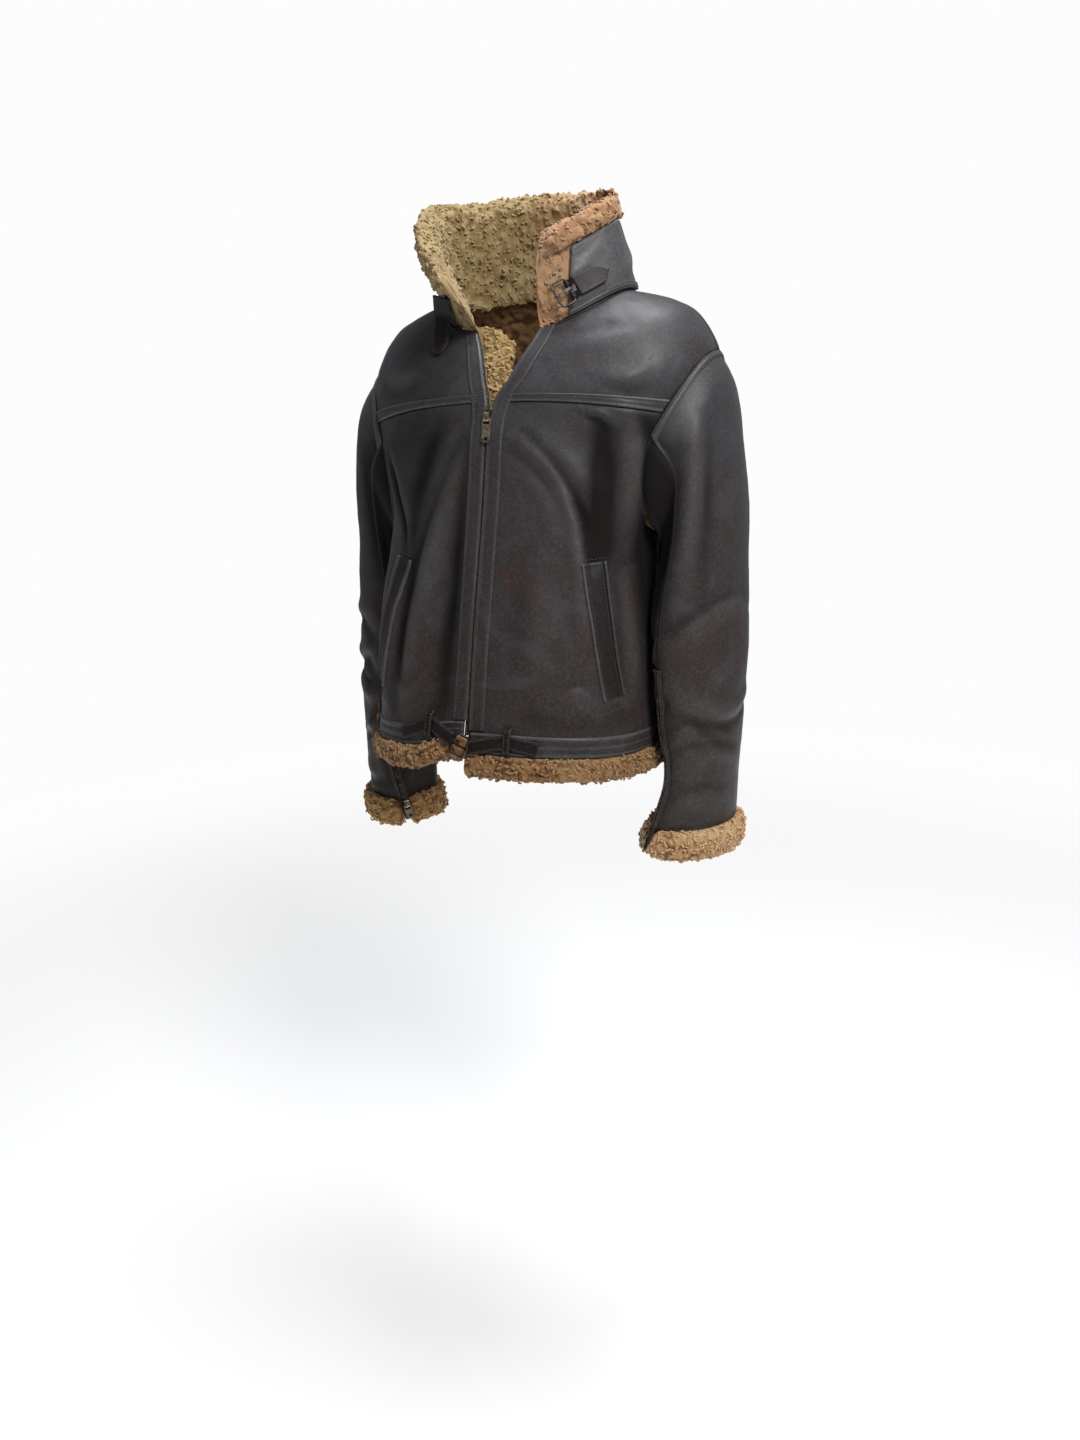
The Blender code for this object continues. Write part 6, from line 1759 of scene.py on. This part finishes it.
# ---------------------------------------------------------------- cuffs' zips
CUFF_ZIP_HALF, CUFF_ZIP_TAIL, CUFF_ZIP_LIFT, CUFF_ZIP_THICK = 0.0085, 0.034, 0.0016, 0.0018
for side, hand in HANDS:
    alongs = np.linspace(0.57, 0.996, 90)
    grid, normals = sleeve_form(side, alongs, np.array([VENT - 0.02, VENT, VENT + 0.02]))
    line, out = grid[:, 1], normals[:, 1]
    across = unit(np.cross(np.gradient(line, axis=0), out))
    columns = np.linspace(-CUFF_ZIP_HALF, CUFF_ZIP_HALF, 17)
    band = line[:, None] + columns[None, :, None] * across[:, None]
    outs = np.repeat(out[:, None], len(columns), axis=1)
    tree = surface_of(sleeve_hides["upper", side], sleeve_hides["under", side])
    base = laid(tree, band, outs)
    tail_steps = np.linspace(0, 1, 12)[1:, None, None]
    tail = base[-1:] + tail_steps * CUFF_ZIP_TAIL * unit(line[-1] - line[-2])
    base = np.concatenate([base, tail])
    outs = np.concatenate([outs, np.repeat(outs[-1:], 11, axis=0)])
    share = np.abs(columns) / CUFF_ZIP_HALF
    ridge = np.exp(-(((share - 0.55) / 0.12) ** 2))
    tape_rise = CUFF_ZIP_LIFT + np.where(share > 0.42, CUFF_ZIP_THICK, 0.0006) + 0.0010 * ridge
    outer = base + tape_rise[None, :, None] * outs
    inner = base + (CUFF_ZIP_LIFT * 0.4) * outs
    wear_and_painted_shade = np.broadcast_to(ridge, outer.shape[:2])
    marks = [("wear_and_painted_shade", wear_and_painted_shade, np.zeros_like(wear_and_painted_shade))]
    made = closed_sheet(f"cuff_zip_{hand}_tape", outer, inner, [BINDING], marks)
    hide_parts(f"cuff_zip_{hand}")
    axis, axis_out = base[:, 8], outs[:, 8]
    reach = unit(base[:, 9] - base[:, 7])
    for word, way in (("outer", 1), ("inner", -1)):
        row = axis + way * 0.0011 * reach + (CUFF_ZIP_LIFT + 0.0012) * axis_out
        name = f"cuff_zip_{hand}_teeth_{word}"
        teeth = row_of_teeth(name, row, reach, axis_out, 0.0026, 0.25 * (1 + way), TEETH)

# ---------------------------------------------------------------- collar patch and hanging strap
KEEPER_TAIL = 0.0095
PATCH_HALF, PATCH_LENGTH, PATCH_SHARE, PATCH_LIFT, TAB_THICK = 0.0125, 0.046, 0.36, 0.0011, 0.0016
collar_half = neck_length[-1] / 2
bar_along = LEATHER_END - 0.002 / collar_half
patch_alongs = bar_along - (KEEPER_TAIL + 0.0006 + np.linspace(0, PATCH_LENGTH, 40)) / collar_half
line = collar_point(patch_alongs, PATCH_SHARE, 0.0, SEAM + COLLAR_LEATHER)
out = collar_outward(patch_alongs, PATCH_SHARE)
across = unit(np.cross(np.gradient(line, axis=0), out))
line = laid(collar_tree, line, out) + PATCH_LIFT * out
halves = np.full(len(line), PATCH_HALF)
halves[-11:] = PATCH_HALF * np.linspace(1.0, 0.10, 11)
strap("collar_patch_leather", "collar_patch", line, across, out, halves, TAB_THICK, STRAPS, "straps")

HANGING_ON_COLLAR = (
    # along, share of the collar's height, lift
    (-0.870, 0.55, 0.0085),
    (-0.840, 0.22, 0.0140),
)
HANGING = (
    # turn in degrees, height and lift, as on the hem straps
    (-38.5, 0.955, 0.0125),
    (-33.0, 0.905, 0.0060),
    (-28.5, 0.860, 0.0036),
    (-25.5, 0.835, 0.0034),
)
HANGING_HALF = 0.0125
points = [collar_point(np.array(along), share, 0.0, lift) for along, share, lift in HANGING_ON_COLLAR]
out = [collar_outward(np.array(along), share) for along, share, lift in HANGING_ON_COLLAR]
for turn, height, lift in HANGING:
    normal = cape_normal(height, math.radians(turn))
    points.append(cape(height, math.radians(turn)) + lift * normal)
    out.append(normal)
stations, at = np.arange(len(points)), np.linspace(0, len(points) - 1, 70)
path, faces = carried(points, stations, at), unit(carried(out, stations, at))
across = unit(np.cross(np.gradient(path, axis=0), faces))
faces = unit(np.cross(across, np.gradient(path, axis=0)))
left_to_go = walked(path)[-1] - walked(path)
halves = HANGING_HALF * np.sqrt(np.clip(1 - (1 - np.clip(left_to_go / 0.016, 0, 1)) ** 2, 0.03, 1))
strap("collar_strap_leather", "collar_strap", path, across, faces, halves, STRAP_THICK, STRAPS, None)
for way in (-1, 1):
    keep = left_to_go > 0.004
    line = path + way * np.clip(halves[:, None] - 0.0028, 0.0004, 1) * across + STRAP_THICK * faces
    stitch("straps", line[keep], faces[keep])

# ---------------------------------------------------------------- thread
for group in stitch_runs:
    made = sew(group, f"stitching_{group}", THREAD)

# ---------------------------------------------------------------- metal that stays as it is in the model
for name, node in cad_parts.items():
    finish = None
    if name in ("zip_slider", "zip_pull") or name.startswith(("cuff_slider", "cuff_pull")):
        finish = BRASS
    elif "buckle" in name:
        finish = GUNMETAL
    elif name.startswith("collar_keeper"):
        finish = STRAPS
    if finish:
        node.data.materials.clear()
        node.data.materials.append(finish)

# ---------------------------------------------------------------- floor, light and camera
FLOOR = -1.59
FLOOR_NEAR, FLOOR_FAR = 0.9, 3.1  # where the floor begins and ends to fade into the studio's wall
FLOOR_END = 3.4
floor_finish = Finish("pale_floor", Roughness=0.9, Specular_IOR_Level=0.1, Emission_Strength=1.0)
faded = floor_finish.ramp(floor_finish.from_middle(), FLOOR_NEAR, FLOOR_FAR)
floor_finish.set(
    Base_Color=floor_finish.mix(faded, (0.86, 0.86, 0.86), (0.0, 0.0, 0.0)),
    Emission_Color=floor_finish.mix(faded, (0.36, 0.36, 0.36), (0.978, 0.978, 0.978)),
)
bm = bmesh.new()
bmesh.ops.create_circle(bm, cap_ends=True, segments=96, radius=FLOOR_END)
bmesh.ops.translate(bm, verts=bm.verts[:], vec=(0, 0, FLOOR))
floor_mesh = mesh_of("floor", bm, turned=False)
floor_mesh.materials.append(floor_finish.material)
floor = bpy.data.objects.new("floor", floor_mesh)
bpy.context.scene.collection.objects.link(floor)

world = bpy.data.worlds.new("soft_studio")
bpy.context.scene.world = world
world.use_nodes = True
AMBIENT, BACKDROP = 0.20, 0.98  # the studio's own light, and its wall as it is seen
studio = world.node_tree
glow = studio.nodes["Background"]
glow.inputs["Color"].default_value = (1.0, 1.0, 1.0, 1)
glow.inputs["Strength"].default_value = AMBIENT
wall = studio.nodes.new("ShaderNodeBackground")
wall.inputs["Color"].default_value = (1.0, 1.0, 1.0, 1)
wall.inputs["Strength"].default_value = BACKDROP
chosen = studio.nodes.new("ShaderNodeMixShader")
studio.links.new(studio.nodes.new("ShaderNodeLightPath").outputs["Is Camera Ray"], chosen.inputs[0])
studio.links.new(glow.outputs[0], chosen.inputs[1])
studio.links.new(wall.outputs[0], chosen.inputs[2])
studio.links.new(chosen.outputs[0], studio.nodes["World Output"].inputs["Surface"])


def soft_light(name, place, towards, size, power, colour=(1, 1, 1)):
    """A round soft lamp at a place, turned towards another place."""
    lamp = bpy.data.lights.new(name, "AREA")
    lamp.shape, lamp.size, lamp.energy, lamp.color = "DISK", size, power, colour
    made = bpy.data.objects.new(name, lamp)
    bpy.context.scene.collection.objects.link(made)
    made.location = place
    made.rotation_euler = (Vector(towards) - Vector(place)).to_track_quat("-Z", "Y").to_euler()


soft_light("key", (1.75, -1.35, 1.55), (0, 0, -0.2), 1.0, 66, (1.0, 0.99, 0.98))
soft_light("top", (0.35, 0.25, 1.9), (0, 0, 0), 1.2, 56, (0.93, 0.96, 1.0))

TURN, PITCH, ROLL = math.radians(25), math.radians(16), math.radians(-2.2)
DISTANCE, LEVEL, ASIDE = 1.53, -0.14, -0.012
FOCAL = 1082 / 1440  # the focal length as a share of the image's height
right = Vector((math.cos(TURN), math.sin(TURN), 0))
back_way = Vector((math.sin(TURN) * math.cos(PITCH), -math.cos(TURN) * math.cos(PITCH), math.sin(PITCH)))
lens = bpy.data.cameras.new("camera")
lens.sensor_width = 36
lens.lens = 36 * FOCAL
camera = bpy.data.objects.new("camera", lens)
bpy.context.scene.collection.objects.link(camera)
turned = Matrix((right, back_way.cross(right), back_way)).transposed().to_4x4()
turned = turned @ Matrix.Rotation(ROLL, 4, "Z")
turned.translation = Vector((math.sin(TURN) * DISTANCE, -math.cos(TURN) * DISTANCE, LEVEL)) - right * ASIDE
camera.matrix_world = turned
bpy.context.scene.camera = camera
bpy.context.scene.view_settings.view_transform = "Standard"
